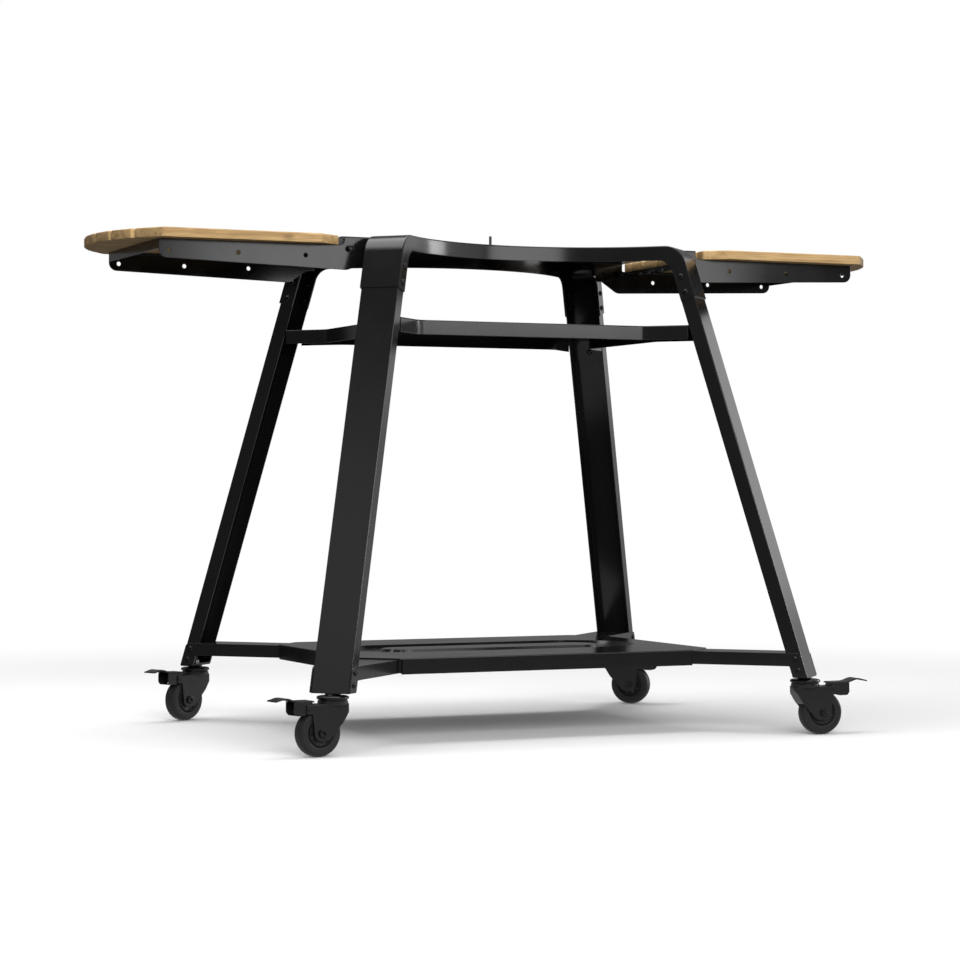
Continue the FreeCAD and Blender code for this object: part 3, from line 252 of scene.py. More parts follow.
def wood_finish(name, light, dark):
    """Oiled hardwood: streaks of grain, pores, a few knots, end grain, each board its own tone."""
    material, tree, output = node_material(name)
    place = add(tree, "ShaderNodeTexCoord").outputs["Object"]
    parts = add(tree, "ShaderNodeSeparateXYZ", {"Vector": place})
    facing = add(tree, "ShaderNodeSeparateXYZ",
                 {"Vector": add(tree, "ShaderNodeNewGeometry").outputs["Normal"]})
    lane = maths(tree, "FLOOR",
                 maths(tree, "MULTIPLY_ADD", parts.outputs["Y"], LANES_PER_METRE, 0.5))
    side = maths(tree, "SIGN", parts.outputs["X"])
    board = add(tree, "ShaderNodeCombineXYZ", {"X": lane, "Y": side})
    chance = add(tree, "ShaderNodeTexWhiteNoise", {"Vector": board.outputs[0]},
                 noise_dimensions="3D")
    shift = add(tree, "ShaderNodeVectorMath", {0: chance.outputs["Color"], 1: TONE_SHIFT},
                operation="MULTIPLY")
    own = add(tree, "ShaderNodeVectorMath", {0: place, 1: shift.outputs[0]},
              operation="ADD").outputs[0]
    grain = noise(tree, stretched(tree, own, GRAIN_SCALE), scale=1.0, detail=6.0, roughness=0.6,
                  distortion=1.1)
    cloud = noise(tree, stretched(tree, own, PATCH_SCALE), scale=1.0, detail=3.0, roughness=0.55)
    pores = noise(tree, stretched(tree, own, PORE_SCALE), scale=1.0, detail=2.0, roughness=0.6)
    knots = add(tree, "ShaderNodeTexVoronoi", {"Vector": stretched(tree, own, KNOT_SCALE),
                                               "Scale": 1.0}).outputs["Distance"]
    knot = span(tree, knots, 0.03, 0.13, 0.5, 1.0)
    middle = tuple((a + b) / 2 for a, b in zip(light[:3], dark[:3])) + (1,)
    bands = ramp(tree, grain, [(0.3, dark), (0.44, middle), (0.54, light),
                               (0.78, scaled(light, 1.06))])
    tone = maths(tree, "MULTIPLY", span(tree, pores, 0.35, 0.6, 0.74, 1.0),
                 span(tree, chance.outputs["Value"], 0.0, 1.0, 0.88, 1.08))
    tone = maths(tree, "MULTIPLY", tone, span(tree, cloud, 0.32, 0.62, 0.86, 1.04))
    tone = maths(tree, "MULTIPLY", tone, knot)
    end_grain = span(tree, maths(tree, "ABSOLUTE", facing.outputs["X"]), 0.45, 0.8, 1.0, 0.72)
    tone = maths(tree, "MULTIPLY", tone, end_grain)
    colour = add(tree, "ShaderNodeVectorMath", {0: bands, 3: tone}, operation="SCALE")
    bump = add(tree, "ShaderNodeBump", {"Height": maths(tree, "ADD", pores, grain), "Strength": 0.3,
                                        "Distance": 0.00025})
    shader = add(tree, "ShaderNodeBsdfPrincipled", {
        "Base Color": colour.outputs[0], "Roughness": 0.6, "Normal": bump.outputs[0],
        "Specular IOR Level": 0.25})
    tree.links.new(shader.outputs[0], output.inputs["Surface"])
    return material


def rubber(name, colour):
    """Matt tyre rubber with a slight scuff where it rolls."""
    material, tree, output = node_material(name)
    place = add(tree, "ShaderNodeTexCoord").outputs["Object"]
    scuff = noise(tree, place, scale=160.0, detail=5.0, roughness=0.65)
    tint = ramp(tree, scuff, [(0.4, colour), (0.72, scaled(colour, 1.5))])
    bump = add(tree, "ShaderNodeBump", {"Height": scuff, "Strength": 0.2, "Distance": 0.0002})
    shader = add(tree, "ShaderNodeBsdfPrincipled", {
        "Base Color": tint, "Roughness": 0.5, "Normal": bump.outputs[0],
        "Specular IOR Level": 0.45})
    tree.links.new(shader.outputs[0], output.inputs["Surface"])
    return material


def plating(name, value, roughness, metallic, gloss=0.5):
    """Blackened or plated steel of bolts and pins, lightly clouded."""
    material, tree, output = node_material(name)
    place = add(tree, "ShaderNodeTexCoord").outputs["Object"]
    cloud = noise(tree, place, scale=260.0, detail=3.0)
    tint = ramp(tree, cloud, [(0.35, grey(value * 0.8)), (0.7, grey(value))])
    matt = span(tree, cloud, 0.3, 0.7, roughness - 0.05, roughness + 0.05)
    shader = add(tree, "ShaderNodeBsdfPrincipled", {
        "Base Color": tint, "Roughness": matt, "Metallic": metallic, "Specular IOR Level": gloss})
    tree.links.new(shader.outputs[0], output.inputs["Surface"])
    return material


def dress(node, material):
    """Give a node of the frame one finish all over."""
    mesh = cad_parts[node].data
    mesh.materials.clear()
    mesh.materials.append(material)


# Meshes.

def new_piece(name, mesh, body, material, replaced=()):
    """Put a mesh into the scene as a piece that rides on a body."""
    piece = bpy.data.objects.new(name, mesh)
    bpy.context.scene.collection.objects.link(piece)
    mesh.materials.append(material)
    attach(piece, body)
    for node in replaced:
        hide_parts(node)
    return piece


def six_sided(turn, flats):
    """Distance from the middle of a hexagon to its edge, in a direction."""
    return flats / 2 / math.cos((turn % (math.pi / 3)) - math.pi / 6)


def lathe(bm, points, segments, place):
    """Turn (radius, height[, flats[, knurl]]) points about the local Z axis, moved to a place.

    Flats make a ring a hexagon of that width with its corners cut to the radius, and a knurl
    moves every other point of it in and out. A last point equal to the first closes the loop."""
    rings = []
    for point in points:
        radius, height, flats, knurl = (tuple(point) + (0, 0))[:4]
        if rings and point is points[-1] and point == points[0]:
            rings.append(rings[0])
            continue
        if radius < 1e-7:
            rings.append([bm.verts.new(place @ Vector((0, 0, height)))])
            continue
        ring = []
        for k in range(segments):
            turn = 2 * math.pi * k / segments
            reach = min(radius, six_sided(turn, flats)) if flats else radius
            reach += knurl if k % 2 else -knurl
            ring.append(bm.verts.new(place @ Vector((reach * math.cos(turn),
                                                     reach * math.sin(turn), height))))
        rings.append(ring)
    for first, second in zip(rings, rings[1:]):
        for k in range(segments):
            n = (k + 1) % segments
            corners = [first[k % len(first)], first[n % len(first)],
                       second[n % len(second)], second[k % len(second)]]
            unique = [v for i, v in enumerate(corners) if v not in corners[:i]]
            if len(unique) > 2:
                bm.faces.new(unique)


def finished(bm, name, smooth_angle=35.0):
    """A mesh from bmesh, with outward faces and smooth shading below an angle."""
    bmesh.ops.recalc_face_normals(bm, faces=bm.faces)
    mesh = bpy.data.meshes.new(name)
    limit = math.radians(smooth_angle)
    for edge in bm.edges:
        edge.smooth = len(edge.link_faces) == 2 and edge.calc_face_angle(0) < limit
    for face in bm.faces:
        face.smooth = True
    bm.to_mesh(mesh)
    bm.free()
    return mesh


def turned(name, points, segments, place, smooth_angle):
    """A mesh turned about the Z axis of a place."""
    bm = bmesh.new()
    lathe(bm, points, segments, place)
    return finished(bm, name, smooth_angle)


def along_axis(point, axis):
    """The placement whose Z runs along an axis from a point."""
    return Matrix.Translation(point) @ Vector(axis).to_track_quat("Z", "Y").to_matrix().to_4x4()


# Places on the legs and casters.

LEAN = math.radians(17.0)
FOOT = Vector((0.4353, 0.3575, 0.0978))  # foot of the rear right leg's outer face
STRAP_HALF = 0.0347  # half the width over a strap or tab
CHANNEL_HALF = 0.0305  # half the width inside a leg
STEM_DEPTH = 0.012  # from a leg's outer face to its caster's stem
TRAIL = 0.0274  # from a caster's stem to its axle
WHEEL_RADIUS = 0.0375


def corner_place(corner):
    """Placement from a leg's own frame (outward, across, up) to its corner."""
    sign_x, sign_y = CORNERS[corner]
    flip = Matrix.Diagonal((sign_x, sign_y, 1, 1))
    foot = Matrix.Translation((FOOT.x, FOOT.y, 0))
    return flip @ foot @ Matrix.Rotation(math.pi / 4, 4, "Z")


def on_leg(length, depth):
    """(outward, height) of a point at a length up the leg and a depth behind its face."""
    return (-length * math.sin(LEAN) - depth * math.cos(LEAN),
            FOOT.z + length * math.cos(LEAN) - depth * math.sin(LEAN))


def caster_place(corner):
    """Placement from a caster's own frame (towards the axle, across, up) to its corner."""
    sign_x, sign_y = CORNERS[corner]
    step = STEM_DEPTH / math.cos(LEAN) / math.sqrt(2)
    stem = Matrix.Translation((sign_x * (FOOT.x - step), sign_y * (FOOT.y - step), 0))
    return stem @ Matrix.Rotation(math.radians(CASTER_TURN[corner]), 4, "Z")


def wheel_place(corner):
    """Placement whose Z runs along a wheel's axle from the wheel's middle."""
    return caster_place(corner) @ along_axis((TRAIL, 0, WHEEL_RADIUS), (0, 1, 0))


# Boards.

BOARD_COUNT = 7
BOARD_PITCH = 0.05
BOARD_LOW = 0.816  # underside
BOARD_EASE = 0.001  # rounding of the lower edges
INNER_X = 0.340  # edge beside the table's top
CHAMFER_X = 0.379  # ends of the cut at the two inner corners
CHAMFER_Y = 0.150
ARC_X = 0.471  # centre and radius of the outer end
ARC_RADIUS = 0.248
CORNER = 0.005  # roundings in plan
OUTER_CORNER = 0.012
SHARPEST = 0.0002


def board_corners(index, gap):
    """Plan of a board of the right shelf, counted from the middle: (x, y, radius) corners."""
    last = abs(index) == BOARD_COUNT // 2
    near = (abs(index) - 0.5) * BOARD_PITCH + gap / 2
    far = (abs(index) + 0.5) * BOARD_PITCH - (0 if last else gap / 2)
    near_end = ARC_X + math.sqrt(ARC_RADIUS ** 2 - near ** 2)
    far_end = ARC_X + math.sqrt(ARC_RADIUS ** 2 - far ** 2)
    corners = [(near_end, near, CORNER), (far_end, far, OUTER_CORNER if last else CORNER)]
    if last:
        corners += [(CHAMFER_X, far, CORNER), (INNER_X, CHAMFER_Y, CORNER)]
    else:
        corners += [(INNER_X, far, CORNER)]
    corners += [(INNER_X, near, CORNER)]
    return [(x, math.copysign(1, index) * y if index else y, r) for x, y, r in corners]


def inset_outline(corners, inset, steps=6):
    """Points of an outline with rounded (x, y, radius) corners, moved inwards by a distance."""
    places = [Vector(corner[:2]) for corner in corners]
    following = places[1:] + places[:1]
    sense = math.copysign(1, sum(place.cross(after) for place, after in zip(places, following)))
    points = []
    for k, (here, after) in enumerate(zip(places, following)):
        back = (places[k - 1] - here).normalized()
        ahead = (after - here).normalized()
        half = back.angle(ahead) / 2
        inward = (back + ahead).normalized()
        radius = corners[k][2]
        reach = max(radius - inset, SHARPEST)
        deep = radius if reach == radius - inset else inset + reach
        centre = here + inward * (deep / math.sin(half))
        outward = sense if sense * ahead.cross(back) > 0 else -sense
        first = Vector((-back.y, back.x)) * outward
        last = Vector((ahead.y, -ahead.x)) * outward
        for n in range(steps + 1):
            points.append(centre + first.slerp(last, n / steps) * reach)
    return points


def board_mesh(name, sign, index, wood):
    """One board: its own outline, upper edges rounded and lower edges eased."""
    corners = board_corners(index, wood.gap)
    layers = [(BOARD_LOW, BOARD_EASE), (BOARD_LOW + BOARD_EASE * 0.3, BOARD_EASE * 0.3),
              (BOARD_LOW + BOARD_EASE, 0.0)]
    for degree in range(0, 91, 18):
        turn = math.radians(degree)
        layers.append((TABLE_TOP - wood.edge_radius * (1 - math.sin(turn)),
                       wood.edge_radius * (1 - math.cos(turn))))
    bm = bmesh.new()
    rings = []
    for height, inset in layers:
        rings.append([bm.verts.new((sign * point.x, point.y, height))
                      for point in inset_outline(corners, inset)])
    for low, high in zip(rings, rings[1:]):
        for k in range(len(low)):
            n = (k + 1) % len(low)
            bm.faces.new((low[k], low[n], high[n], high[k]))
    bm.faces.new(rings[0])
    bm.faces.new(rings[-1])
    return finished(bm, name, 40)


class TABLE_OT_boards(bpy.types.Operator):
    """Build the seven boards of each side shelf"""
    bl_idname = "oven_table.boards"
    bl_label = "Side Shelf Boards"

    def execute(self, context):
        wood = context.scene.oven_table_wood
        finish = wood_finish("oiled_wood", tuple(wood.light), tuple(wood.dark))
        half = BOARD_COUNT // 2
        for side, sign in SIDES.items():
            for index in range(-half, half + 1):
                name = "board_%s_%d" % (side, index + half + 1)
                mesh = board_mesh(name, sign, index, wood)
                new_piece(name, mesh, "side_shelf_" + side, finish, ["boards_" + side])
        return {"FINISHED"}


class TABLE_OT_steel(bpy.types.Operator):
    """Dress every sheet steel part with the powder coat"""
    bl_idname = "oven_table.steel"
    bl_label = "Steel Frame"

    def execute(self, context):
        steel = context.scene.oven_table_steel
        coat = powder_coat("black_powder_coat", tuple(steel.colour), steel.roughness, steel.peel,
                           steel.edge)
        sheets = ["top_frame", "middle_shelf", "bottom_panel", "bottom_side_left",
                  "bottom_side_right", "shelf_frame_left", "shelf_frame_right", "foot_plates"]
        sheets += ["leg_" + corner for corner in CORNERS]
        for node in sheets:
            dress(node, coat)
        return {"FINISHED"}


# Fasteners.

TOP_BOLTS = ((0.715, 0.687), 0.012)  # lengths up the leg, depth behind its face
BOTTOM_BOLTS = ((0.036, 0.016), 0.011)
BOLT_SHANK = 0.00295
BOLT_REACH = 0.0102
NUT_FLATS = 0.010
NUT_HEIGHT = 0.005
NUT_BORE = 0.003
PIVOT = Vector((0.3196, 0.1448, 0.811))  # seat of the rear right pivot bolt
STUD_TIP = 0.8565
STUD_PLAIN = 0.0016  # length of the tip without thread
STUD_CREST = 0.0025
STUD_ROOT = 0.00215
STUD_SEGMENTS = 28
ROWS_PER_TURN = 4

# (radius, height[, flats[, knurl]]) points.
PIVOT_BOLT = [
    (0, -0.0118), (0.0026, -0.0118), (0.003, -0.0112), (0.003, 0.0), (0.0062, 0.0),
    (0.0065, 0.0003), (0.0065, 0.0012), (0.0062, 0.0015), (0.0044, 0.0015), (0.0044, 0.0020),
    (0.0047, 0.0023, 0, 0.0001), (0.0047, 0.0071, 0, 0.0001), (0.0045, 0.0075), (0.0046, 0.0078),
    (0.0045, 0.0082), (0.0042, 0.0085), (0.0033, 0.0085), (0.003, 0.0083),
    (0.0029, 0.0081, 0.005), (0.0029, 0.0056, 0.005), (0, 0.0053),
]
STUD_POINT = [
    (0, 0.0), (0.0018, 0.0), (0.0024, -0.0006), (0.0024, -0.0026), (0, -0.003),
]
STUD_HEAD = [
    (0, 0.8263), (0.0036, 0.8263), (0.0046, 0.8268), (0.005, 0.8276), (0.005, 0.8293),
    (0.0023, 0.8293), (0.0021, 0.8315), (0.0021, 0.8335), (0, 0.8335),
]


def button_head(bm, place, radius, flats, shank, length):
    """Round-headed bolt with a hexagon socket: head above Z 0, shank below it."""
    rise = radius * 0.6
    rim = flats / 2 * 1.35
    dome = [(radius, 0.0), (radius, rise * 0.18)]
    for k in range(1, 6):
        share = k / 6
        dome.append((radius - (radius - rim) * share,
                     rise * (0.18 + 0.82 * math.sin(math.radians(90 * share)))))
    dome += [(rim, rise), (rim * 0.94, rise * 0.96, flats), (rim * 0.94, rise * 0.3, flats),
             (0, rise * 0.2)]
    foot = [(0, -length), (shank * 0.8, -length), (shank, -length + shank * 0.25), (shank, 0.0)]
    lathe(bm, foot + dome, 24, place)


def hexagon_nut(bm, place, flats, height, bore):
    """Nut with chamfered corners and a bore that the bolt fills, standing on Z 0."""
    wide = flats / math.sqrt(3) * 0.99
    lathe(bm, [(bore, 0.0), (flats * 0.5, 0.0), (wide, height * 0.1, flats),
               (wide, height * 0.86, flats), (flats * 0.48, height), (bore * 1.12, height),
               (bore, height * 0.94)], 36, place)


def leg_rows(lengths, depth):
    """Every bolt on the legs: placement of its corner, how far out and how high, and its side."""
    for corner in CORNERS:
        for length in lengths:
            outward, height = on_leg(length, depth)
            for side in (-1, 1):
                yield corner_place(corner), outward, height, side


def threaded_stud(bm, pitch):
    """The stud on the top: a fine thread up to a plain tip, a neck and a head under the sheet."""
    rows = int((STUD_TIP - TABLE_TOP - STUD_PLAIN) / pitch * ROWS_PER_TURN)
    middle = (STUD_ROOT + STUD_CREST) / 2
    last = STUD_SEGMENTS - 1
    grid = []
    for row in range(rows + 1):
        reach = (STUD_ROOT, middle, STUD_CREST, middle)[row % ROWS_PER_TURN]
        line = []
        for k in range(STUD_SEGMENTS):
            height = TABLE_TOP + (row / ROWS_PER_TURN + k / STUD_SEGMENTS) * pitch
            turn = 2 * math.pi * k / STUD_SEGMENTS
            line.append(bm.verts.new((reach * math.cos(turn), reach * math.sin(turn), height)))
        grid.append(line)
    for row in range(rows):
        for k in range(last):
            bm.faces.new((grid[row][k], grid[row][k + 1], grid[row + 1][k + 1], grid[row + 1][k]))
        above = row + ROWS_PER_TURN
        if above < rows:
            bm.faces.new((grid[row][last], grid[above][0], grid[above + 1][0], grid[row + 1][last]))
    lathe(bm, STUD_POINT, STUD_SEGMENTS, Matrix.Translation((0, 0, STUD_TIP)))
    lathe(bm, STUD_HEAD, STUD_SEGMENTS, Matrix.Identity(4))


class TABLE_OT_fasteners(bpy.types.Operator):
    """Build the bolts and nuts of the legs, the shelf pivots and the centre stud"""
    bl_idname = "oven_table.fasteners"
    bl_label = "Fasteners"

    def execute(self, context):
        sizes = context.scene.oven_table_fasteners
        black = plating("blackened_steel", 0.005, 0.16, 0.0, 0.35)
        bright = plating("plated_steel", 0.34, 0.26, 1.0)
        for name, (lengths, depth) in (("top", TOP_BOLTS), ("bottom", BOTTOM_BOLTS)):
            bolts = bmesh.new()
            nuts = bmesh.new()
            for corner, outward, height, side in leg_rows(lengths, depth):
                head = corner @ along_axis((outward, side * STRAP_HALF, height), (0, side, 0))
                button_head(bolts, head, sizes.head_radius, sizes.socket_flats, BOLT_SHANK,
                            BOLT_REACH)
                nut = corner @ along_axis((outward, side * CHANNEL_HALF, height), (0, -side, 0))
                hexagon_nut(nuts, nut, NUT_FLATS, NUT_HEIGHT, NUT_BORE)
            new_piece(name + "_bolt_set", finished(bolts, name + "_bolts", 50), "frame",
                      black, [name + "_bolts"])
            new_piece(name + "_nut_set", finished(nuts, name + "_nuts", 30), "frame",
                      black, [name + "_nuts"])
        pivots = bmesh.new()
        for sign_x, sign_y in CORNERS.values():
            place = along_axis((sign_x * PIVOT.x, sign_y * PIVOT.y, PIVOT.z), (0, sign_y, 0))
            lathe(pivots, PIVOT_BOLT, 96, place)
        new_piece("pivot_bolt_set", finished(pivots, "pivots", 40), "frame", black,
                  ["pivot_bolts"])
        stud = bmesh.new()
        threaded_stud(stud, sizes.thread_pitch)
        new_piece("threaded_stud", finished(stud, "stud", 60), "frame",
                  plating("stud_steel", 0.12, 0.34, 0.6), ["centre_stud"])
        for node in ("middle_shelf_screws", "panel_screws", "lock_buttons", "pivot_nuts",
                     "board_screws_left", "board_screws_right"):
            dress(node, black)
        dress("stem_nuts", bright)
        return {"FINISHED"}


# Casters.

TYRE_HALF = 0.0120
TREAD_RADIUS = 0.0312  # where the tread's rounding begins
TREAD_FULLNESS = 0.84
RIB_START = 0.0095
RIB_END = 0.0175
RIB_HEIGHT = 0.0013

# (radius, distance from the wheel's middle) points of one face.
TYRE_WALL = [
    (0.0222, 0.0090), (0.0222, 0.0104), (0.0225, 0.0113), (0.0232, 0.0118), (0.0262, TYRE_HALF),
    (0.0300, TYRE_HALF),
]
HUB_FACE = [
    (0.00406, 0.0130), (0.0046, 0.0137), (0.0074, 0.0137), (0.0080, 0.0133), (0.0083, 0.0106),
    (0.0092, 0.0098), (0.0110, 0.0096), (0.0140, 0.0097), (0.0165, 0.0099), (0.0180, 0.0104),
    (0.0188, 0.0114), (0.0193, 0.0118), (0.0200, 0.0118), (0.0205, 0.0113), (0.0207, 0.0075),
    (0.0222, 0.0072),
]


def tyre_profile():
    """Points across a tyre, from one bead over the tread to the other."""
    half = list(TYRE_WALL)
    for k in range(8):
        turn = math.radians(90 * k / 8)
        half.append((TREAD_RADIUS + (WHEEL_RADIUS - TREAD_RADIUS) * math.sin(turn) ** TREAD_FULLNESS,
                     TYRE_HALF * math.cos(turn) ** TREAD_FULLNESS))
    other = [(radius, -width) for radius, width in reversed(half)]
    return half + [(WHEEL_RADIUS, 0.0)] + other + half[:1]


def hub_profile():
    """Points across a hub: boss, dished web, rim and groove on both faces."""
    loop = [(radius, -width) for radius, width in HUB_FACE] + HUB_FACE[::-1]
    return loop + loop[:1]


def ribbed(bm, place, ribs):
    """Raise low radial ribs on both webs of a hub."""
    back = place.inverted()
    for vertex in bm.verts:
        local = back @ vertex.co
        radius = math.hypot(local.x, local.y)
        if RIB_START < radius < RIB_END:
            share = (math.atan2(local.y, local.x) * ribs / (2 * math.pi)) % 1.0
            rise = min(max(1.6 - 14 * abs(share - 0.5), 0.0), 1.0)
            local.z += math.copysign(RIB_HEIGHT * rise, local.z)
            vertex.co = place @ local


# (radius, height) points about the stem.
SWIVEL_HEAD = [
    (0, 0.1138), (0.0038, 0.1138), (0.0048, 0.1128), (0.0048, 0.0978), (0.0118, 0.0978),
    (0.0121, 0.0974), (0.0122, 0.0960), (0.0128, 0.0953), (0.0160, 0.0949), (0.0210, 0.0943),
    (0.0232, 0.0938), (0.0246, 0.0931), (0.0253, 0.0922), (0.0255, 0.0911), (0.0254, 0.0901),
    (0.0249, 0.0892), (0.0240, 0.0886), (0.0230, 0.0885), (0.0228, 0.0873), (0.0060, 0.0873),
    (0.0060, 0.0797), (0.0086, 0.0797), (0.0090, 0.0793), (0.0088, 0.0783), (0.0080, 0.0775),
    (0, 0.0775),
]

# (radius, distance[, flats]) points: a socket head outside one cheek, a nut outside the other.
AXLE_BOLT = [
    (0, 0.0175), (0.0029, 0.0175, 0.005), (0.0029, 0.0196, 0.005), (0.0033, 0.0199),
    (0.0058, 0.0199), (0.0065, 0.0196), (0.0069, 0.0189), (0.0070, 0.0180), (0.0070, 0.0161),
    (0.0040, 0.0161), (0.0040, 0.0), (0.0040, -0.0161), (0.0061, -0.0161),
    (0.0069, -0.0164, 0.012), (0.0069, -0.0194, 0.012), (0.0058, -0.0200), (0.0042, -0.0200),
    (0.0036, -0.0195), (0, -0.0195),
]

# Side views of a brake pedal's folds, as (distance from the stem, height, radius) corners.
PEDAL_HALF = 0.0137
PEDAL_SHEET = 0.0016
PEDAL_PLATE = [
    (0.0410, 0.0862, 0.0), (0.0410, 0.0887, 0.001), (0.0720, 0.0890, 0.030),
    (0.0900, 0.0952, 0.022), (0.1090, 0.0906, 0.001), (0.1090, 0.0886, 0.0),
    (0.0900, 0.0927, 0.0195), (0.0730, 0.0862, 0.020),
]
PEDAL_WALL = [
    (0.0440, 0.0770, 0.003), (0.0520, 0.0700, 0.004), (0.0580, 0.0660, 0.002),
    (0.0720, 0.0660, 0.004), (0.0760, 0.0710, 0.004), (0.0760, 0.0866, 0.0),
    (0.0440, 0.0866, 0.0),
]
PEDAL_BACK = [
    (0.0440, 0.0770, 0.0), (0.0440, 0.0866, 0.0), (0.0456, 0.0866, 0.0), (0.0456, 0.0770, 0.0),
]
PEDAL_FLOOR = [
    (0.0575, 0.0660, 0.0), (0.0575, 0.0676, 0.0), (0.0725, 0.0676, 0.0), (0.0735, 0.0664, 0.0),
]


def side_cut(bm, corners, left, right, place):
    """A slab whose side view is a rounded outline, between two places across the caster."""
    outline = inset_outline(corners, 0.0)
    near = [bm.verts.new(place @ Vector((point.x, left, point.y))) for point in outline]
    far = [bm.verts.new(place @ Vector((point.x, right, point.y))) for point in outline]
    bm.faces.new(near)
    bm.faces.new(far)
    for k in range(len(near)):
        n = (k + 1) % len(near)
        bm.faces.new((near[k], near[n], far[n], far[k]))


def pedal(bm, place):
    """Brake pedal: a bent plate over two walls, a back and a floor, open towards the tip."""
    side_cut(bm, PEDAL_PLATE, -PEDAL_HALF, PEDAL_HALF, place)
    inner = PEDAL_HALF - PEDAL_SHEET
    for left, right in ((-PEDAL_HALF, -inner), (inner, PEDAL_HALF)):
        side_cut(bm, PEDAL_WALL, left, right, place)
    side_cut(bm, PEDAL_BACK, -inner, inner, place)
    side_cut(bm, PEDAL_FLOOR, -inner, inner, place)


class TABLE_OT_casters(bpy.types.Operator):
    """Build the tyres, hubs, axles, swivel heads and brake pedals, and dress the forks"""
    bl_idname = "oven_table.casters"
    bl_label = "Casters"

    def execute(self, context):
        caster = context.scene.oven_table_casters
        tread = rubber("tyre_rubber", tuple(caster.tyre))
        plastic = powder_coat("moulded_hub", tuple(caster.hub), 0.36, 0.0022, 0.0003)
        coat = powder_coat("caster_coat", tuple(caster.steel), 0.24, 0.0014, 0.0016)
        pin = plating("axle_steel", 0.006, 0.2, 0.0, 0.4)
        for corner in CORNERS:
            stem = caster_place(corner)
            wheel = wheel_place(corner)
            new_piece("tyre_ring_" + corner, turned("tyre", tyre_profile(), caster.segments, wheel, 40),
                      "wheel_" + corner, tread, ["tyre_" + corner])
            hub = bmesh.new()
            lathe(hub, hub_profile(), caster.segments, wheel)
            ribbed(hub, wheel, caster.ribs)
            new_piece("hub_disc_" + corner, finished(hub, "hub", 32), "wheel_" + corner,
                      plastic, ["hub_" + corner])
            new_piece("axle_bolt_" + corner, turned("axle", AXLE_BOLT, 60, wheel, 30),
                      "swivel_" + corner, pin, ["axle_" + corner])
            new_piece("swivel_head_" + corner, turned("swivel_head", SWIVEL_HEAD, 72, stem, 40),
                      "frame", pin, ["caster_stem_" + corner])
            brake = bmesh.new()
            pedal(brake, stem)
            new_piece("pedal_plate_" + corner, finished(brake, "pedal", 30), "pedal_" + corner,
                      coat, ["brake_pedal_" + corner])
            for node in ("fork_", "pedal_pin_"):
                dress(node + corner, coat)
        return {"FINISHED"}


# Studio.

FLOOR_HALF = 12.0
FLOOR_BOUNCE = 0.12  # grey with which the floor lights the table
SHADOW_FADES = 1.0  # distances at which the shadow begins to fade and is gone
SHADOW_GONE = 2.6
CARD_STEPS = 24
SENSOR_WIDTH = 36.0
FARTHEST = 60.0

# Name, place, aim, width, height, radiance, lights the table, shows in reflections.
LAMPS = [
    ("key", (0.545, -1.63, 0.94), (0.135, -0.13, 0.9), 1.3, 0.42, 3.5, False, True),
    ("strip", (2.8, -0.32, 0.65), (0.0, -0.32, 0.65), 0.78, 1.0, 8.8, False, True),
    ("overhead", (-0.6, 0.1, 3.2), (-0.6, 0.1, 0.4), 3.8, 2.6, 2.8, True, True),
    ("fill", (-0.8, -4.4, 1.9), (0, 0, 0.5), 3.4, 2.2, 8.0, True, False),
]

# Name, first and last angle, (distance, height) section, grey level.
CARDS = [
    ("floor_near", -180, 180, [(0.0, 0.0008), (1.3, 0.0008)], 0.45),
    ("floor_front", -22, 60, [(1.3, 0.004), (5.5, 0.004)], 0.2),
    ("floor_right", 60, 125, [(1.3, 0.004), (5.5, 0.004)], 0.45),
    ("floor_left", -150, -22, [(1.3, 0.004), (5.5, 0.004)], 0.1),
    ("front_dark", -22, 46, [(5.5, 0.004), (5.5, 4.2)], 0.1),
    ("right_high", 46, 95, [(5.5, 1.9), (5.5, 3.6), (3.8, 5.2)], 0.2),
    ("right_low", 95, 125, [(5.5, 0.004), (5.5, 0.75)], 0.5),
    ("left_low", -150, -22, [(5.5, 0.004), (5.5, 2.3)], 0.12),
    ("left_middle", -150, -22, [(5.5, 2.3), (5.5, 3.75)], 0.6),
    ("left_high", -150, -22, [(5.5, 3.75), (3.8, 5.2)], 0.12),
    ("rear", 125, 210, [(1.3, 0.004), (5.5, 0.004), (5.5, 3.6), (3.8, 5.2)], 0.2),
]


def seen_or_mirrored(tree):
    """1 for rays from the camera, and for mirrored and transmitted ones, else 0."""
    path = add(tree, "ShaderNodeLightPath")
    both = maths(tree, "MAXIMUM", path.outputs["Is Camera Ray"], path.outputs["Is Glossy Ray"])
    return maths(tree, "MAXIMUM", both, path.outputs["Is Transmission Ray"])


def studio_world(strength):
    """White for the eye and for reflections, a plain grey light for everything else."""
    world = bpy.data.worlds.new("studio")
    world.use_nodes = True
    tree = world.node_tree
    tree.nodes.clear()
    output = tree.nodes.new("ShaderNodeOutputWorld")
    light = add(tree, "ShaderNodeBackground", {"Color": grey(1.0), "Strength": strength})
    white = add(tree, "ShaderNodeBackground", {"Color": grey(1.0), "Strength": 1.0})
    mix = add(tree, "ShaderNodeMixShader", {0: seen_or_mirrored(tree), 1: light.outputs[0],
                                            2: white.outputs[0]})
    tree.links.new(mix.outputs[0], output.inputs["Surface"])
    bpy.context.scene.world = world


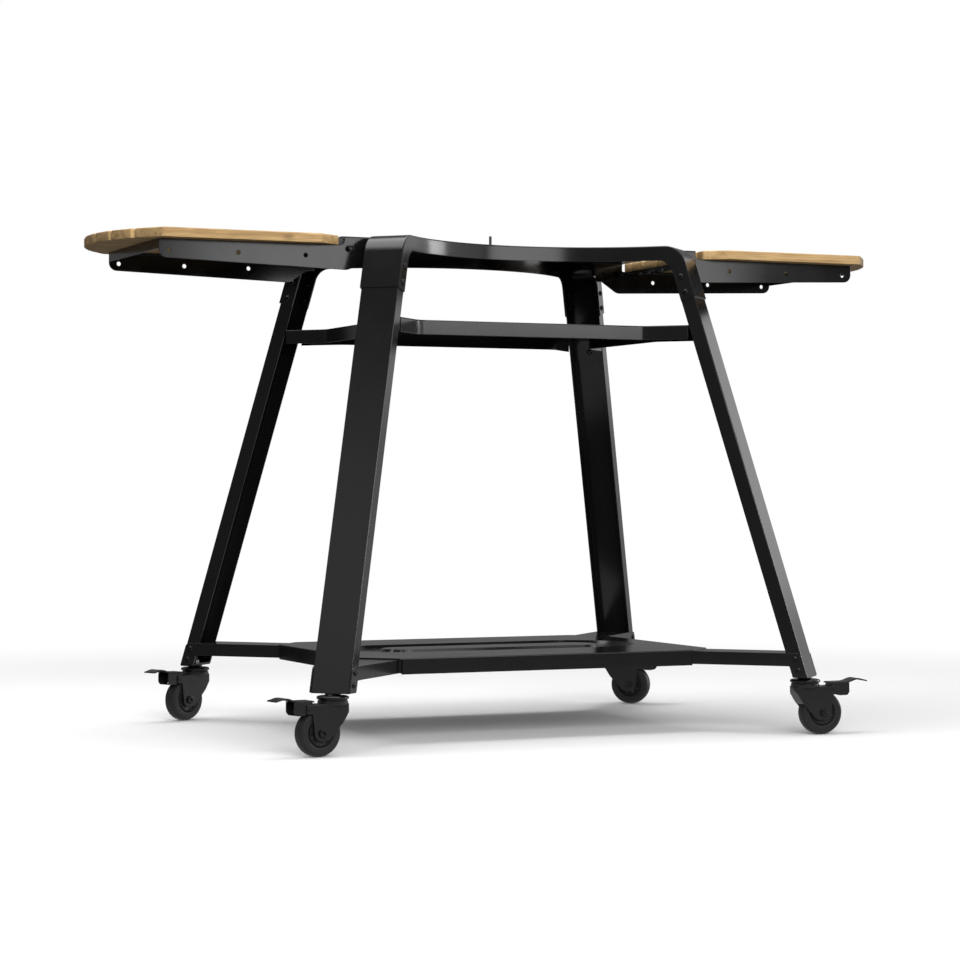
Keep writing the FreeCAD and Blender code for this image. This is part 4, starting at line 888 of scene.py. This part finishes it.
def floor_finish(shade):
    """Pale floor that keeps the shadow near the table and is plain white further out."""
    material, tree, output = node_material("pale_floor")
    place = add(tree, "ShaderNodeTexCoord").outputs["Object"]
    reach = add(tree, "ShaderNodeVectorMath", {0: place}, operation="LENGTH")
    near = add(tree, "ShaderNodeMapRange", {
        "Value": reach.outputs["Value"], "From Min": SHADOW_FADES, "From Max": SHADOW_GONE,
        "To Min": shade, "To Max": 0.0}, interpolation_type="SMOOTHSTEP").outputs[0]
    glow = maths(tree, "SUBTRACT", 1.0, near)
    paint = add(tree, "ShaderNodeCombineColor", {0: near, 1: near, 2: near})
    lit = add(tree, "ShaderNodeBsdfDiffuse", {"Color": paint.outputs[0]})
    own = add(tree, "ShaderNodeEmission", {"Color": grey(1.0), "Strength": glow})
    both = add(tree, "ShaderNodeAddShader", {0: lit.outputs[0], 1: own.outputs[0]})
    plain = add(tree, "ShaderNodeBsdfDiffuse", {"Color": grey(FLOOR_BOUNCE)})
    mix = add(tree, "ShaderNodeMixShader", {0: seen_or_mirrored(tree), 1: plain.outputs[0],
                                            2: both.outputs[0]})
    tree.links.new(mix.outputs[0], output.inputs["Surface"])
    return material


def softbox(name, place, aim, width, height, radiance, lights, mirrored):
    """A rectangular lamp that faces a point, as bright as a lit sheet of that radiance.

    It either lights the table, or shows in its reflections, or both."""
    lamp = bpy.data.lights.new(name, "AREA")
    lamp.shape = "RECTANGLE"
    lamp.size = width
    lamp.size_y = height
    lamp.energy = radiance * math.pi * width * height
    holder = bpy.data.objects.new(name, lamp)
    bpy.context.scene.collection.objects.link(holder)
    holder.location = place
    holder.rotation_euler = (Vector(aim) - Vector(place)).to_track_quat("-Z", "Y").to_euler()
    holder.visible_camera = False
    holder.visible_diffuse = lights
    holder.visible_glossy = mirrored


def card(name, start, end, section, level):
    """A grey card bent round the table, which only shows in reflections.

    Its ends are angles to the right of the front, its section (distance, height) points."""
    bm = bmesh.new()
    rows = []
    for k in range(CARD_STEPS + 1):
        turn = math.radians(start + (end - start) * k / CARD_STEPS)
        rows.append([bm.verts.new((reach * math.sin(turn), -reach * math.cos(turn), height))
                     for reach, height in section])
    for first, second in zip(rows, rows[1:]):
        for k in range(len(section) - 1):
            bm.faces.new((first[k], second[k], second[k + 1], first[k + 1]))
    material, tree, output = node_material(name)
    glow = add(tree, "ShaderNodeEmission", {"Color": grey(1.0), "Strength": level})
    tree.links.new(glow.outputs[0], output.inputs["Surface"])
    mesh = finished(bm, name)
    mesh.materials.append(material)
    holder = bpy.data.objects.new(name, mesh)
    bpy.context.scene.collection.objects.link(holder)
    for kind in ("camera", "diffuse", "shadow", "transmission", "volume_scatter"):
        setattr(holder, "visible_" + kind, False)


class TABLE_OT_studio(bpy.types.Operator):
    """Make the floor, the lamps, the cards and the camera"""
    bl_idname = "oven_table.studio"
    bl_label = "Studio"

    def execute(self, context):
        studio = context.scene.oven_table_studio
        scene = context.scene
        scene.view_settings.view_transform = "Standard"
        studio_world(studio.ambient)
        bm = bmesh.new()
        bmesh.ops.create_grid(bm, x_segments=1, y_segments=1, size=FLOOR_HALF)
        mesh = finished(bm, "floor")
        mesh.materials.append(floor_finish(studio.shade))
        floor = bpy.data.objects.new("floor", mesh)
        scene.collection.objects.link(floor)
        for lamp in LAMPS:
            softbox(*lamp)
        for sheet in CARDS:
            card(*sheet)
        lens = bpy.data.cameras.new("camera")
        lens.lens = studio.lens
        lens.sensor_width = SENSOR_WIDTH
        lens.clip_end = FARTHEST
        camera = bpy.data.objects.new("camera", lens)
        scene.collection.objects.link(camera)
        camera.location = studio.camera
        camera.rotation_euler = (math.radians(studio.aim[0]), 0, math.radians(studio.aim[1]))
        scene.camera = camera
        return {"FINISHED"}


class TABLE_PT_panel(bpy.types.Panel):
    """Lists the steps that build the table"""
    bl_idname = "TABLE_PT_panel"
    bl_label = "Oven Table"
    bl_space_type = "VIEW_3D"
    bl_region_type = "UI"
    bl_category = "Oven Table"

    def draw(self, context):
        layout = self.layout
        for operator in OPERATORS:
            layout.operator(operator.bl_idname)
        for name in SETTINGS:
            group = getattr(context.scene, name)
            box = layout.box()
            for key in group.__annotations__:
                box.prop(group, key)


SETTINGS = {
    "oven_table_steel": SteelSettings,
    "oven_table_wood": WoodSettings,
    "oven_table_fasteners": FastenerSettings,
    "oven_table_casters": CasterSettings,
    "oven_table_studio": StudioSettings,
}
OPERATORS = [TABLE_OT_steel, TABLE_OT_boards, TABLE_OT_fasteners, TABLE_OT_casters, TABLE_OT_studio]


def register():
    """Register the classes and hang the settings on the scene."""
    for group in SETTINGS.values():
        bpy.utils.register_class(group)
    for name, group in SETTINGS.items():
        setattr(bpy.types.Scene, name, PointerProperty(type=group))
    for operator in OPERATORS:
        bpy.utils.register_class(operator)
    bpy.utils.register_class(TABLE_PT_panel)


def unregister():
    """Undo register."""
    bpy.utils.unregister_class(TABLE_PT_panel)
    for operator in reversed(OPERATORS):
        bpy.utils.unregister_class(operator)
    for name in SETTINGS:
        delattr(bpy.types.Scene, name)
    for group in SETTINGS.values():
        bpy.utils.unregister_class(group)


def main():
    """Build everything in order."""
    register()
    bpy.ops.oven_table.steel()
    bpy.ops.oven_table.boards()
    bpy.ops.oven_table.fasteners()
    bpy.ops.oven_table.casters()
    bpy.ops.oven_table.studio()


if __name__ == "__main__":
    main()
